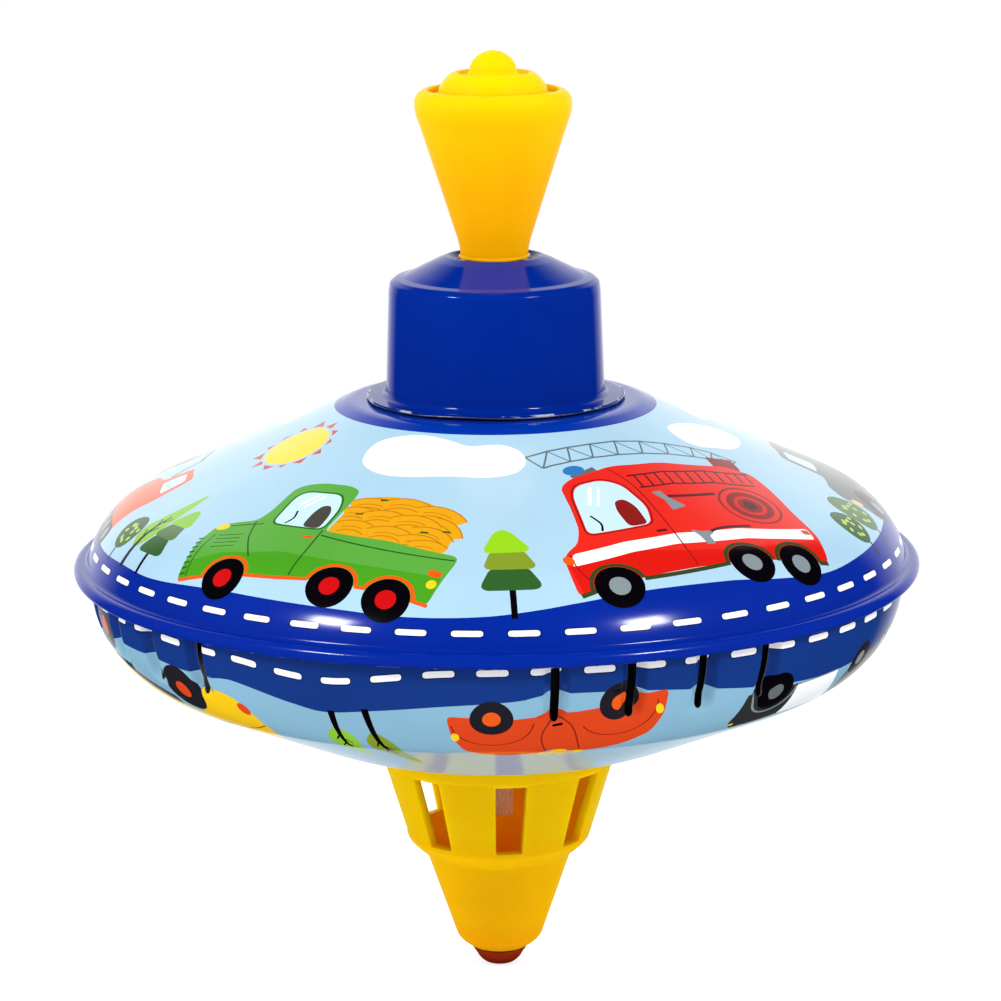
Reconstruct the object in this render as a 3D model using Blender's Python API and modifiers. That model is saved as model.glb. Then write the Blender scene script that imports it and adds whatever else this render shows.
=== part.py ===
"""Tin humming top with a push-down spiral-rod drive, in Blender, metres, +Z up.

Origin: centre of the tip's flat underside, on the spin axis. Front is -Y.
"""
import math

import bmesh
import bpy

MM = 0.001

# Driving dimensions, millimetres
SEGMENTS = 48           # facets round each shell
MID_SEGMENTS = 36       # facets round the foot and the collar
SMALL_SEGMENTS = 24     # facets round a small turned piece
SHEET = 0.6             # tin sheet, drawn thicker than the real 0.3
RIM_Z = 95.6            # middle of the rolled rim seam
LEAD = 40.0             # height of one full turn of the spiral rod
ROD_WIDTH = 6.4
ROD_THICK = 1.2
ROD_LOW = 34.9          # rod's lower end, seen in the foot's front window
ROD_HIGH = 184.5
TWIST_LOW = 52.0        # the rod is plain and flat below this height
TWIST_HIGH = 168.0      # and above this one
ROD_PHASE = 12.0        # degrees from +X, lower flat end
ROD_BORE = 3.6          # round holes that the rod slides through
SLOT_CLEAR = 0.35       # driver slot clearance, each side of the strip
STOP_Z = 50.0           # rod stop pin
PIN_Z = 179.0           # knob cross pin
SEAT_Z = 54.44          # underside of the lower shell's flat bottom
BEND = 23.5             # slope of the lower shell's cone, degrees
BEND_RADIUS = 47.7      # round from the cone into the flat bottom
FLAT_R = 28.0           # where the flat bottom starts
FOOT_TOP = SEAT_Z - 0.3
WINDOW_PHI = 6.4        # first foot window, degrees from the front
WINDOW_COUNT = 8
SLIT_WIDTH = 1.8
SLIT_LOW = 80.5
SLIT_HIGH = 92.6
SLIT_PITCH = 10.4
SLIT_GROUPS = (23.2, 120.0, 203.2, 300.0)
SLITS_PER_GROUP = 4
RIVET_R = 17.0          # circle of the cage rivets
LUG_R = 25.6            # inner face of the collar lugs
LUG_PHIS = (45.0, 135.0, 225.0, 315.0)
HOOK_PHIS = (28.5, 118.5, 208.5, 298.5)
TOOTH_COUNT = 6

for old in list(bpy.data.objects):
    bpy.data.objects.remove(old, do_unlink=True)

scene = bpy.context.scene
parts = bpy.data.collections.new("spinning_top")
cutters = bpy.data.collections.new("cutters")
scene.collection.children.link(parts)
scene.collection.children.link(cutters)


def material(name, colour, roughness, metallic):
    mat = bpy.data.materials.new(name)
    mat.use_nodes = True
    mat.diffuse_color = (*colour, 1.0)
    bsdf = mat.node_tree.nodes["Principled BSDF"]
    bsdf.inputs["Base Color"].default_value = (*colour, 1.0)
    bsdf.inputs["Roughness"].default_value = roughness
    bsdf.inputs["Metallic"].default_value = metallic
    return mat


SKY_TIN = material("sky_tin", (0.38, 0.68, 0.86), 0.25, 0.3)
BLUE_TIN = material("blue_tin", (0.005, 0.045, 0.33), 0.25, 0.3)
YELLOW = material("yellow_plastic", (0.93, 0.55, 0.01), 0.3, 0.0)
WHITE = material("white_plastic", (0.8, 0.8, 0.76), 0.45, 0.0)
STEEL = material("steel", (0.55, 0.55, 0.56), 0.3, 1.0)
BRASS = material("brass", (0.7, 0.5, 0.2), 0.3, 1.0)


def add_object(name, bm, mat, collection):
    mesh = bpy.data.meshes.new(name)
    bm.to_mesh(mesh)
    bm.free()
    obj = bpy.data.objects.new(name, mesh)
    if mat is not None:
        mesh.materials.append(mat)
    collection.objects.link(obj)
    if collection is cutters:
        obj.hide_render = True
        obj.display_type = "WIRE"
    return obj


def turned(name, mat, profile, closed, segments=SEGMENTS, collection=parts):
    """Turn an (r, z) profile about Z. Its outer side runs from top to bottom."""
    bm = bmesh.new()
    verts = [bm.verts.new((r * MM, 0.0, z * MM)) for r, z in profile]
    for a, b in zip(verts, verts[1:]):
        bm.edges.new((a, b))
    if closed:
        bm.edges.new((verts[-1], verts[0]))
    obj = add_object(name, bm, mat, collection)
    screw = obj.modifiers.new("turn", "SCREW")
    screw.axis = "Z"
    screw.angle = math.tau
    screw.steps = segments
    screw.render_steps = segments
    screw.use_merge_vertices = True
    screw.merge_threshold = 0.00001
    screw.use_smooth_shade = False
    return obj


def sheet_profile(path, thick):
    """Closed profile of a pressed sheet. The path is its outer face, hub to edge."""
    inner = []
    for i, (r, z) in enumerate(path):
        before = path[max(i - 1, 0)]
        after = path[min(i + 1, len(path) - 1)]
        ends = []
        for a, b in ((before, (r, z)), ((r, z), after)):
            length = math.hypot(b[0] - a[0], b[1] - a[1])
            if length > 0:
                ends.append(((b[1] - a[1]) / length, -(b[0] - a[0]) / length))
        nr = sum(e[0] for e in ends)
        nz = sum(e[1] for e in ends)
        size = math.hypot(nr, nz)
        nr, nz = nr / size, nz / size
        scale = thick / (nr * ends[0][0] + nz * ends[0][1])
        inner.append((r + nr * scale, z + nz * scale))
    return list(path) + inner[::-1]


def block(bm, low, high, width_low, width_high, phi):
    """Six-sided block. low and high are (r0, r1, z); phi turns it from the front."""
    angle = math.radians(phi)
    out = (math.sin(angle), -math.cos(angle))
    side = (math.cos(angle), math.sin(angle))
    verts = []
    for (r0, r1, z), width in ((low, width_low), (high, width_high)):
        for r, s in ((r0, -0.5), (r1, -0.5), (r1, 0.5), (r0, 0.5)):
            x = r * out[0] + s * width * side[0]
            y = r * out[1] + s * width * side[1]
            verts.append(bm.verts.new((x * MM, y * MM, z * MM)))
    for quad in ((3, 2, 1, 0), (4, 5, 6, 7), (0, 1, 5, 4), (1, 2, 6, 5), (2, 3, 7, 6), (3, 0, 4, 7)):
        bm.faces.new([verts[i] for i in quad])


def blocks(name, items):
    bm = bmesh.new()
    for low, high, width_low, width_high, phi in items:
        block(bm, low, high, width_low, width_high, phi)
    bmesh.ops.recalc_face_normals(bm, faces=bm.faces[:])
    return add_object(name, bm, None, cutters)


def combine(obj, tool, operation):
    mod = obj.modifiers.new(tool.name, "BOOLEAN")
    mod.operation = operation
    mod.solver = "EXACT"
    mod.object = tool


def rod_angle(z):
    """Direction of the strip's width at a height, radians from +X."""
    level = min(max(z, TWIST_LOW), TWIST_HIGH)
    return math.radians(ROD_PHASE) + math.tau * (level - TWIST_LOW) / LEAD


def strip(name, mat, collection, z0, z1, width, thick, step):
    """Twisted flat strip with the rod's own phase."""
    bm = bmesh.new()
    levels = [z0]
    while levels[-1] < z1 - 1e-6:
        here = levels[-1]
        if here < TWIST_LOW - 1e-6:
            levels.append(min(TWIST_LOW, z1))
        elif here < TWIST_HIGH - 1e-6:
            levels.append(min(here + step, TWIST_HIGH, z1))
        else:
            levels.append(z1)
    rings = []
    for z in levels:
        a = rod_angle(z)
        ring = []
        for u, v in ((-1, -1), (1, -1), (1, 1), (-1, 1)):
            p, q = u * width / 2, v * thick / 2
            x = p * math.cos(a) - q * math.sin(a)
            y = p * math.sin(a) + q * math.cos(a)
            ring.append(bm.verts.new((x * MM, y * MM, z * MM)))
        rings.append(ring)
    for low, high in zip(rings, rings[1:]):
        for i in range(4):
            j = (i + 1) % 4
            bm.faces.new((low[i], low[j], high[j], high[i]))
    bm.faces.new(rings[0][::-1])
    bm.faces.new(rings[-1])
    bmesh.ops.triangulate(bm, faces=bm.faces[:])
    return add_object(name, bm, mat, collection)


def rod_pin(name, mat, collection, z, radius, half_length):
    """Round pin through the strip, square to its flat."""
    bm = bmesh.new()
    bmesh.ops.create_cone(
        bm, cap_ends=True, segments=20, radius1=radius * MM, radius2=radius * MM,
        depth=2 * half_length * MM)
    obj = add_object(name, bm, mat, collection)
    obj.rotation_euler = (math.pi / 2, 0.0, rod_angle(z))
    obj.location = (0.0, 0.0, z * MM)
    return obj


def ring_of_teeth(name, z_base, z_tip, r0, r1, flip):
    """Saw teeth for the one-way clutch: one steep face, one ramp."""
    bm = bmesh.new()
    step = math.tau / TOOTH_COUNT
    for i in range(TOOTH_COUNT):
        start = i * step
        spread = 0.55 * step
        steep = start + (spread if flip else 0.0)
        ramp = start + (0.0 if flip else spread)
        corners = []
        for angle, z in ((steep, z_base), (ramp, z_base), (steep, z_tip)):
            for r in (r0, r1):
                x = r * math.cos(angle)
                y = r * math.sin(angle)
                corners.append(bm.verts.new((x * MM, y * MM, z * MM)))
        a0, a1, b0, b1, c0, c1 = corners
        bm.faces.new((a0, b0, c0))
        bm.faces.new((a1, c1, b1))
        bm.faces.new((a0, a1, b1, b0))
        bm.faces.new((b0, b1, c1, c0))
        bm.faces.new((c0, c1, a1, a0))
    bmesh.ops.recalc_face_normals(bm, faces=bm.faces[:])
    return add_object(name, bm, None, cutters)


# Upper shell: pressed dome, flat seat under the collar, edge rolled over the lower shell
upper_path = [
    (8.2, 132.4), (31.8, 132.4), (33.2, 132.1), (34.6, 131.6), (79.8, 111.5), (82.7, 109.9),
    (85.2, 108.0), (87.2, 105.9), (88.9, 103.9), (90.1, 101.9), (91.0, 100.0), (91.8, 98.4),
    (92.5, 97.5), (93.5, 97.1), (94.4, 96.8), (94.9, 96.2), (95.0, 95.55), (94.9, 94.9),
    (94.4, 94.3), (93.5, 94.0), (92.9, 94.0)]
upper_shell = turned("upper_shell", SKY_TIN, sheet_profile(upper_path, SHEET), True)
lug_slots = blocks("lug_slots", [
    ((LUG_R - 0.4, LUG_R + 1.0, 130.0), (LUG_R - 0.4, LUG_R + 1.0, 134.0), 7.0, 7.0, phi)
    for phi in LUG_PHIS])
combine(upper_shell, lug_slots, "DIFFERENCE")


def rivet_holes(name, radius):
    bm = bmesh.new()
    for i in range(4):
        angle = i * math.pi / 2
        made = bmesh.ops.create_cone(
            bm, cap_ends=True, segments=16, radius1=radius * MM, radius2=radius * MM,
            depth=10 * MM)
        place = (RIVET_R * math.cos(angle) * MM, RIVET_R * math.sin(angle) * MM, 132.5 * MM)
        bmesh.ops.translate(bm, verts=made["verts"], vec=place)
    return add_object(name, bm, None, cutters)


rivet_drill = rivet_holes("rivet_drill", 1.5)
combine(upper_shell, rivet_drill, "DIFFERENCE")

# Lower shell: flange held in the rolled seam, sounding slits, flat bottom for the foot
lower_path = [
    (93.9, 95.2), (93.0, 95.2), (92.2, 94.9), (91.7, 94.2), (91.5, 93.2), (91.4, 91.0),
    (90.9, 88.0), (89.96, 85.0), (88.6, 82.0), (86.7, 79.0), (84.0, 76.0), (80.8, 73.5),
    (77.07, 71.45)]
for k in range(6):
    slope = math.radians(BEND * (1 - k / 5))
    lower_path.append((
        FLAT_R + BEND_RADIUS * math.sin(slope), SEAT_Z + BEND_RADIUS * (1 - math.cos(slope))))
lower_path.append((9.3, SEAT_Z))
lower_shell = turned("lower_shell", SKY_TIN, sheet_profile(lower_path, SHEET), True)
slit_items = []
for centre in SLIT_GROUPS:
    for k in range(SLITS_PER_GROUP):
        phi = centre + (k - (SLITS_PER_GROUP - 1) / 2) * SLIT_PITCH
        slit_items.append(((80.0, 97.0, SLIT_LOW), (80.0, 97.0, SLIT_HIGH), SLIT_WIDTH, SLIT_WIDTH, phi))
combine(lower_shell, blocks("slit_punch", slit_items), "DIFFERENCE")
hook_slots = blocks("hook_slots", [
    ((19.6, 22.0, SEAT_Z - 1.2), (19.6, 22.0, SEAT_Z + 1.8), 6.8, 6.8, phi) for phi in HOOK_PHIS])
combine(lower_shell, hook_slots, "DIFFERENCE")

# Collar: pressed cap over the drive, with a foot flange and four bent lugs
collar_path = [
    (5.6, 163.4), (8.8, 163.4), (9.6, 164.0), (10.5, 164.5), (12.7, 163.75), (15.4, 162.5),
    (18.5, 160.8), (20.0, 159.95), (20.8, 159.7), (21.8, 159.5), (22.7, 158.9), (23.3, 158.0),
    (23.6, 156.6), (24.3, 137.5), (24.4, 135.0), (24.8, 133.9), (25.8, 133.3), (28.9, 133.3)]
collar_cap = turned("collar_cap", BLUE_TIN, sheet_profile(collar_path, SHEET), True, MID_SEGMENTS)
lug_items = []
for phi in LUG_PHIS:
    lug_items.append(((LUG_R, LUG_R + SHEET, 130.9), (LUG_R, LUG_R + SHEET, 133.0), 6.0, 6.0, phi))
combine(collar_cap, blocks("lug_legs", lug_items), "UNION")
bend_items = []
for phi in LUG_PHIS:
    bend_items.append(((LUG_R + 0.2, 28.8, 130.8), (LUG_R + 0.2, 28.8, 131.4), 6.0, 6.0, phi))
combine(collar_cap, blocks("lug_bends", bend_items), "UNION")

# Clutch: toothed seat on the shell, driver nut above it, cage riveted over both
seat_profile = [
    (ROD_BORE, 135.2), (12.0, 135.2), (12.0, 132.7), (6.7, 132.7), (6.7, 128.5),
    (ROD_BORE, 128.5)]
clutch_seat = turned("clutch_seat", BRASS, seat_profile, True, SMALL_SEGMENTS)
combine(clutch_seat, ring_of_teeth("seat_teeth", 135.0, 136.7, 6.5, 10.6, False), "UNION")

driver_disc = turned(
    "driver_disc", STEEL, [(0.0, 141.9), (10.9, 141.9), (11.2, 141.6), (11.2, 138.4), (0.0, 138.4)],
    False, SMALL_SEGMENTS)
combine(driver_disc, ring_of_teeth("driver_teeth", 138.6, 137.0, 6.5, 10.6, True), "UNION")
slot_tool = strip(
    "slot_tool", None, cutters, 135.0, 145.0, ROD_WIDTH + 2 * SLOT_CLEAR,
    ROD_THICK + 2 * SLOT_CLEAR, 0.5)
combine(driver_disc, slot_tool, "DIFFERENCE")

cage_path = [
    (5.0, 144.1), (12.2, 144.1), (12.9, 143.8), (13.1, 143.2), (13.1, 134.3), (13.4, 133.6),
    (14.2, 133.3), (21.4, 133.3)]
clutch_cage = turned("clutch_cage", STEEL, sheet_profile(cage_path, SHEET), True, SMALL_SEGMENTS)
combine(clutch_cage, rivet_drill, "DIFFERENCE")

for i in range(4):
    rivet = turned(
        "cage_rivet_%d" % (i + 1), STEEL,
        [(0.0, 134.8), (1.4, 134.7), (2.3, 134.2), (2.5, 133.6), (1.2, 133.6), (1.2, 131.5),
         (2.3, 131.5), (2.3, 130.7), (0.0, 130.7)], False, 16)
    angle = i * math.pi / 2
    rivet.location = (RIVET_R * math.cos(angle) * MM, RIVET_R * math.sin(angle) * MM, 0.0)

# Guide tube between the shells, with a plastic bush in the bottom
tube_low = SEAT_Z + 2.6
turned("guide_tube", STEEL, [(7.0, 132.4), (7.8, 132.4), (7.8, tube_low), (7.0, tube_low)], True,
       SMALL_SEGMENTS)
bush_profile = [
    (4.6, SEAT_Z + 6.8), (6.2, SEAT_Z + 6.8), (6.7, SEAT_Z + 6.2), (6.7, SEAT_Z + 2.3),
    (12.6, SEAT_Z + 2.3), (13.0, SEAT_Z + 1.9), (13.0, SEAT_Z + 0.9), (8.9, SEAT_Z + 0.9),
    (8.9, SEAT_Z - 0.8), (8.6, SEAT_Z - 1.1), (4.6, SEAT_Z - 1.1)]
turned("lower_bush", WHITE, bush_profile, True, SMALL_SEGMENTS)

# Foot: basket with eight windows, cone below, four snap hooks through the lower shell
foot_profile = [
    (19.0, FOOT_TOP), (28.0, FOOT_TOP), (28.2, FOOT_TOP - 0.3), (26.8, 49.6), (26.4, 49.3),
    (20.95, 31.6), (20.7, 30.8), (20.1, 30.0), (18.6, 28.6), (17.2, 27.5), (16.5, 26.8),
    (16.0, 25.5), (10.05, 8.2), (9.65, 7.1), (8.9, 6.1), (7.9, 5.3), (6.9, 4.6), (6.5, 4.3),
    (3.4, 4.3), (3.4, 7.8), (7.2, 7.8), (8.2, 9.4), (14.0, 26.2), (15.3, 28.6), (17.9, 30.6),
    (18.9, 31.8), (24.5, 49.4), (25.8, FOOT_TOP - 0.9), (19.0, FOOT_TOP - 0.9)]
foot = turned("foot", YELLOW, foot_profile, True, MID_SEGMENTS)
window_items = []
for i in range(WINDOW_COUNT):
    phi = WINDOW_PHI + i * 360.0 / WINDOW_COUNT
    window_items.append(((14.0, 30.0, 31.9), (14.0, 30.0, 49.0), 6.1, 7.3, phi))
combine(foot, blocks("window_tool", window_items), "DIFFERENCE")
hook_items = []
for phi in HOOK_PHIS:
    hook_items.append(((20.0, 21.6, SEAT_Z - 0.8), (20.0, 21.6, SEAT_Z + 2.8), 6.0, 6.0, phi))
combine(foot, blocks("hook_legs", hook_items), "UNION")
barb_items = []
for phi in HOOK_PHIS:
    barb_items.append(((20.2, 23.2, SEAT_Z + 1.1), (20.2, 21.9, SEAT_Z + 2.5), 5.6, 5.6, phi))
combine(foot, blocks("hook_barbs", barb_items), "UNION")

# Tip: wear plug snapped into the cone's end
tip_profile = [
    (0.0, 9.8), (2.7, 9.8), (3.7, 8.9), (3.7, 8.1), (3.0, 8.1), (3.0, 4.0), (6.2, 4.0), (6.1, 3.6),
    (5.4, 2.6), (4.9, 1.7), (4.2, 0.9), (3.4, 0.3), (2.5, 0.0), (0.0, 0.0)]
turned("tip_plug", YELLOW, tip_profile, False, SMALL_SEGMENTS)

# Guide bush in the collar's hole, turning with the rod
guide_profile = [
    (ROD_BORE, 164.3), (6.4, 164.3), (6.6, 164.1), (6.6, 163.7), (5.1, 163.7), (5.1, 162.5),
    (6.1, 162.5), (5.3, 159.0), (4.9, 158.4), (ROD_BORE, 158.4)]
turned("guide_bush", WHITE, guide_profile, True, SMALL_SEGMENTS)

# Handle: spiral rod, stop pin, hollow knob with its cap, cross pin
rod = strip("twisted_rod", STEEL, parts, ROD_LOW, ROD_HIGH, ROD_WIDTH, ROD_THICK, 40.0 / 36)
combine(rod, rod_pin("stop_drill", None, cutters, STOP_Z, 1.1, 3.0), "DIFFERENCE")
combine(rod, rod_pin("pin_drill_rod", None, cutters, PIN_Z, 1.2, 3.0), "DIFFERENCE")
rod_pin("stop_pin", STEEL, parts, STOP_Z, 0.8, 4.2)

knob_profile = [
    (0.0, 188.4), (5.4, 188.4), (6.0, 187.8), (6.0, 171.5), (7.4, 171.5), (9.5, 178.0),
    (12.9, 188.4), (14.2, 192.6), (14.9, 195.6), (15.0, 198.1), (14.5, 198.9), (14.5, 201.2),
    (14.9, 201.5), (15.9, 201.15), (16.8, 200.4), (17.3, 199.6), (17.5, 198.5), (17.35, 196.9),
    (16.95, 195.3), (16.5, 194.1), (15.4, 190.8), (11.8, 179.7), (8.2, 168.6), (7.6, 166.4),
    (7.35, 165.4), (7.0, 164.6), (ROD_BORE, 164.6), (ROD_BORE, 186.2), (0.0, 186.2)]
knob_shell = turned("knob_shell", YELLOW, knob_profile, False, SMALL_SEGMENTS)
combine(knob_shell, rod_pin("pin_drill_knob", None, cutters, PIN_Z, 1.2, 7.0), "DIFFERENCE")
rod_pin("knob_pin", STEEL, parts, PIN_Z, 0.9, 6.3)

cap_profile = [
    (0.0, 210.0), (2.2, 209.7), (3.8, 208.9), (4.7, 207.9), (5.15, 206.7), (5.25, 205.4),
    (5.6, 204.5), (6.3, 204.2), (7.5, 204.3), (8.0, 204.9), (8.6, 205.25), (9.3, 205.1),
    (10.6, 204.2), (11.7, 203.1), (12.4, 201.8), (12.6, 200.7), (13.0, 200.2), (14.1, 200.2),
    (14.2, 200.0), (14.2, 199.3), (12.0, 199.3), (11.4, 200.8), (10.5, 202.2), (9.2, 203.4),
    (8.6, 203.6), (7.8, 203.0), (5.0, 202.9), (4.1, 203.8), (3.8, 206.4), (2.9, 207.7), (0.0, 208.4)]
turned("knob_cap", YELLOW, cap_profile, False, SMALL_SEGMENTS)
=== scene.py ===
"""Looks of the tin humming top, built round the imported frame. Millimetres inside, metres out."""

import math

import bmesh
import bpy
import numpy as np
from mathutils import Matrix, Vector
from mathutils.geometry import delaunay_2d_cdt


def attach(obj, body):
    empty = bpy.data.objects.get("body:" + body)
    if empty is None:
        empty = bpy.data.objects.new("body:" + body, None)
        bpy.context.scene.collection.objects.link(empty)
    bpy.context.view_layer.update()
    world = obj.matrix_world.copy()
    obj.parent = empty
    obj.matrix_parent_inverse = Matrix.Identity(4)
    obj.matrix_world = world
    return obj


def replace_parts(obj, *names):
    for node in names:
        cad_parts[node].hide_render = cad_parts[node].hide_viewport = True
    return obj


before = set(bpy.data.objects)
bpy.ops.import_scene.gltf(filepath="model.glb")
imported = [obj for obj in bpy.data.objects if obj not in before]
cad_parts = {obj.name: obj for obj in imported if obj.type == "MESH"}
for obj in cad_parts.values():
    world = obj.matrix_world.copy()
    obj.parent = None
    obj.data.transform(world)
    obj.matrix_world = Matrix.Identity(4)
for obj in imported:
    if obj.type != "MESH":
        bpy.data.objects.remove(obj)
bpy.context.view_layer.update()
MM = 0.001
scene = bpy.context.scene

# ---------------------------------------------------------------- camera
CAM_BACK = 869.4     # in front of the spin axis
CAM_HEIGHT = 298.7
CAM_SIDE = 0.95
CAM_PITCH = math.radians(12.33)
CAM_ROLL = math.radians(0.44)
SENSOR = 36.0
FOCAL_IN_IMAGES = 3953.6 / 1001


def add_object(name, data):
    obj = bpy.data.objects.new(name, data)
    scene.collection.objects.link(obj)
    return obj


cam_data = bpy.data.cameras.new("camera")
cam_data.sensor_width = SENSOR
cam_data.lens = FOCAL_IN_IMAGES * SENSOR
cam_data.clip_start = 0.05
cam_data.clip_end = 50.0
camera = add_object("camera", cam_data)
camera.matrix_world = (
    Matrix.Translation((CAM_SIDE * MM, -CAM_BACK * MM, CAM_HEIGHT * MM))
    @ Matrix.Rotation(math.pi / 2 - CAM_PITCH, 4, "X")
    @ Matrix.Rotation(-CAM_ROLL, 4, "Z"))
scene.camera = camera


# ---------------------------------------------------------------- colour
def srgb(r, g, b):
    out = []
    for c in (r, g, b):
        c /= 255
        out.append(c / 12.92 if c <= 0.04045 else ((c + 0.055) / 1.055) ** 2.4)
    return tuple(out)


INK = {
    "sky": srgb(167, 204, 226),
    # painted shade: the lower shell's sky, a darker copy of the sky ink above
    "low_sky_painted_shade": srgb(130, 175, 200),
    "road": srgb(0, 37, 149),
    "hub_ring": srgb(0, 48, 158),
    "low_road": srgb(16, 52, 126),
    "white": srgb(246, 248, 250),
    "black": srgb(5, 3, 8),
    "line": srgb(28, 84, 30),
    "green": srgb(88, 164, 60),
    "deep_green": srgb(70, 154, 28),
    "orange": srgb(228, 88, 18),
    "hub_red": srgb(196, 8, 14),
    "glass": srgb(196, 226, 242),
    "load": srgb(226, 160, 18),
    "load_line": srgb(194, 122, 14),
    "lamp": srgb(238, 204, 30),
    "leaf": srgb(136, 192, 52),
    "lime": srgb(146, 206, 28),
    "olive": srgb(128, 150, 40),
    "pine": srgb(46, 92, 40),
    "moss": srgb(80, 116, 66),
    "spot": srgb(176, 208, 84),
    "red": srgb(226, 38, 26),
    "deep_red": srgb(214, 22, 12),
    "dark_red": srgb(136, 26, 24),
    "rung": srgb(84, 22, 34),
    "grey": srgb(128, 140, 146),
    "ladder": srgb(92, 112, 118),
    "mid_grey": srgb(96, 102, 106),
    "dark_grey": srgb(44, 46, 46),
    "sill": srgb(58, 66, 30),
    "seat": srgb(70, 66, 60),
    "blue": srgb(48, 116, 184),
    "sun": srgb(242, 212, 46),
    "ray": srgb(196, 82, 54),
    "car": srgb(214, 66, 22),
    "car_line": srgb(140, 34, 14),
    "tyre": srgb(30, 28, 36),
    "yellow": srgb(236, 192, 18),
    "outline": srgb(6, 14, 80),
    "bare": srgb(150, 152, 156),
}


# ---------------------------------------------------------------- profiles
class Path:
    """A profile (r, z) made of lines and arcs, with exact normals, by distance along it.

    The outer face lies to the left of the path's direction.
    """

    def __init__(self):
        self.parts = []
        self.length = 0.0

    def line(self, a, b):
        size = math.dist(a, b)
        if size > 1e-9:
            self.parts.append(("line", a, b, self.length, size))
            self.length += size
        return self

    def arc(self, centre, radius, start, stop):
        size = abs(math.radians(stop - start)) * radius
        self.parts.append(("arc", centre, radius, start, stop, self.length, size))
        self.length += size
        return self

    def at(self, s):
        """(r, z, normal r, normal z) at each distance in the array s."""
        s = np.asarray(s, float)
        out = np.zeros((len(s), 4))
        for k, part in enumerate(self.parts):
            begin, size = part[-2], part[-1]
            inside = (s >= begin - 1e-9) & (s <= begin + size + 1e-9)
            if k == 0:
                inside |= s < begin
            if k == len(self.parts) - 1:
                inside |= s > begin + size
            t = (s[inside] - begin) / size
            out[inside] = self._part(part, t)
        return out

    @staticmethod
    def _part(part, t):
        t = np.asarray(t, float)
        if part[0] == "line":
            (ar, az), (br, bz) = part[1], part[2]
            size = part[-1]
            nr, nz = -(bz - az) / size, (br - ar) / size
            ones = np.ones_like(t)
            return np.stack([ar + (br - ar) * t, az + (bz - az) * t, nr * ones, nz * ones], 1)
        centre, radius, start, stop = part[1:5]
        a = np.radians(start + (stop - start) * t)
        sign = 1.0 if stop < start else -1.0
        return np.stack([
            centre[0] + radius * np.cos(a), centre[1] + radius * np.sin(a),
            sign * np.cos(a), sign * np.sin(a)], 1)

    def rows(self, line_step, arc_degrees):
        """Row distances that follow the shape, part by part."""
        out = [0.0]
        for part in self.parts:
            begin, size = part[-2], part[-1]
            if part[0] == "line":
                n = max(1, round(size / line_step))
            else:
                n = max(1, math.ceil(abs(part[4] - part[3]) / arc_degrees), round(size / line_step))
            out += [begin + size * (i + 1) / n for i in range(n)]
        return out


def rounded(points):
    """Path through (r, z, fillet) points."""
    path = Path()
    here = points[0][:2]
    for i in range(1, len(points) - 1):
        r, z, fillet = points[i]
        a, b = points[i - 1][:2], points[i + 1][:2]
        if fillet <= 0:
            path.line(here, (r, z))
            here = (r, z)
            continue
        d0 = np.array([r - a[0], z - a[1]]) / math.dist(a, (r, z))
        d1 = np.array([b[0] - r, b[1] - z]) / math.dist(b, (r, z))
        cross = d0[0] * d1[1] - d0[1] * d1[0]
        turn = math.atan2(cross, float(d0 @ d1))
        room = 0.48 * min(math.dist(a, (r, z)), math.dist(b, (r, z)))
        fillet = min(fillet, room / max(math.tan(abs(turn) / 2), 1e-6))
        reach = fillet * math.tan(abs(turn) / 2)
        if abs(turn) < 1e-4:
            continue
        start = np.array([r, z]) - d0 * reach
        end = np.array([r, z]) + d1 * reach
        side = np.array([-d0[1], d0[0]]) * (1 if turn > 0 else -1)
        centre = start + side * fillet
        first = math.degrees(math.atan2(start[1] - centre[1], start[0] - centre[0]))
        path.line(here, tuple(start))
        path.arc(tuple(centre), fillet, first, first + math.degrees(turn))
        here = tuple(end)
    path.line(here, points[-1][:2])
    return path


# ---------------------------------------------------------------- meshes
def finish_mesh(name, verts, faces, normals, material, inks=None):
    """Object from vertices in mm, faces, and one normal per face corner."""
    mesh = bpy.data.meshes.new(name)
    mesh.from_pydata((np.asarray(verts) * MM).tolist(), [], faces)
    mesh.update()
    mesh.polygons.foreach_set("use_smooth", [True] * len(mesh.polygons))
    flat = np.asarray(normals, float).reshape(-1, 3)
    flat /= np.maximum(np.linalg.norm(flat, axis=1, keepdims=True), 1e-12)
    if inks is not None:
        layer = mesh.color_attributes.new("ink", "FLOAT_COLOR", "CORNER")
        colours = np.ones((len(mesh.loops), 4), np.float32)
        colours[:, :3] = np.asarray(inks, np.float32)
        layer.data.foreach_set("color", colours.ravel())
    mesh.normals_split_custom_set(flat.tolist())
    mesh.materials.append(material)
    return add_object(name, mesh)


def around(theta, radius):
    """Points (x, y) at angles in degrees from the front."""
    a = np.radians(theta)
    return np.stack([radius * np.sin(a), -radius * np.cos(a)], -1)


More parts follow.
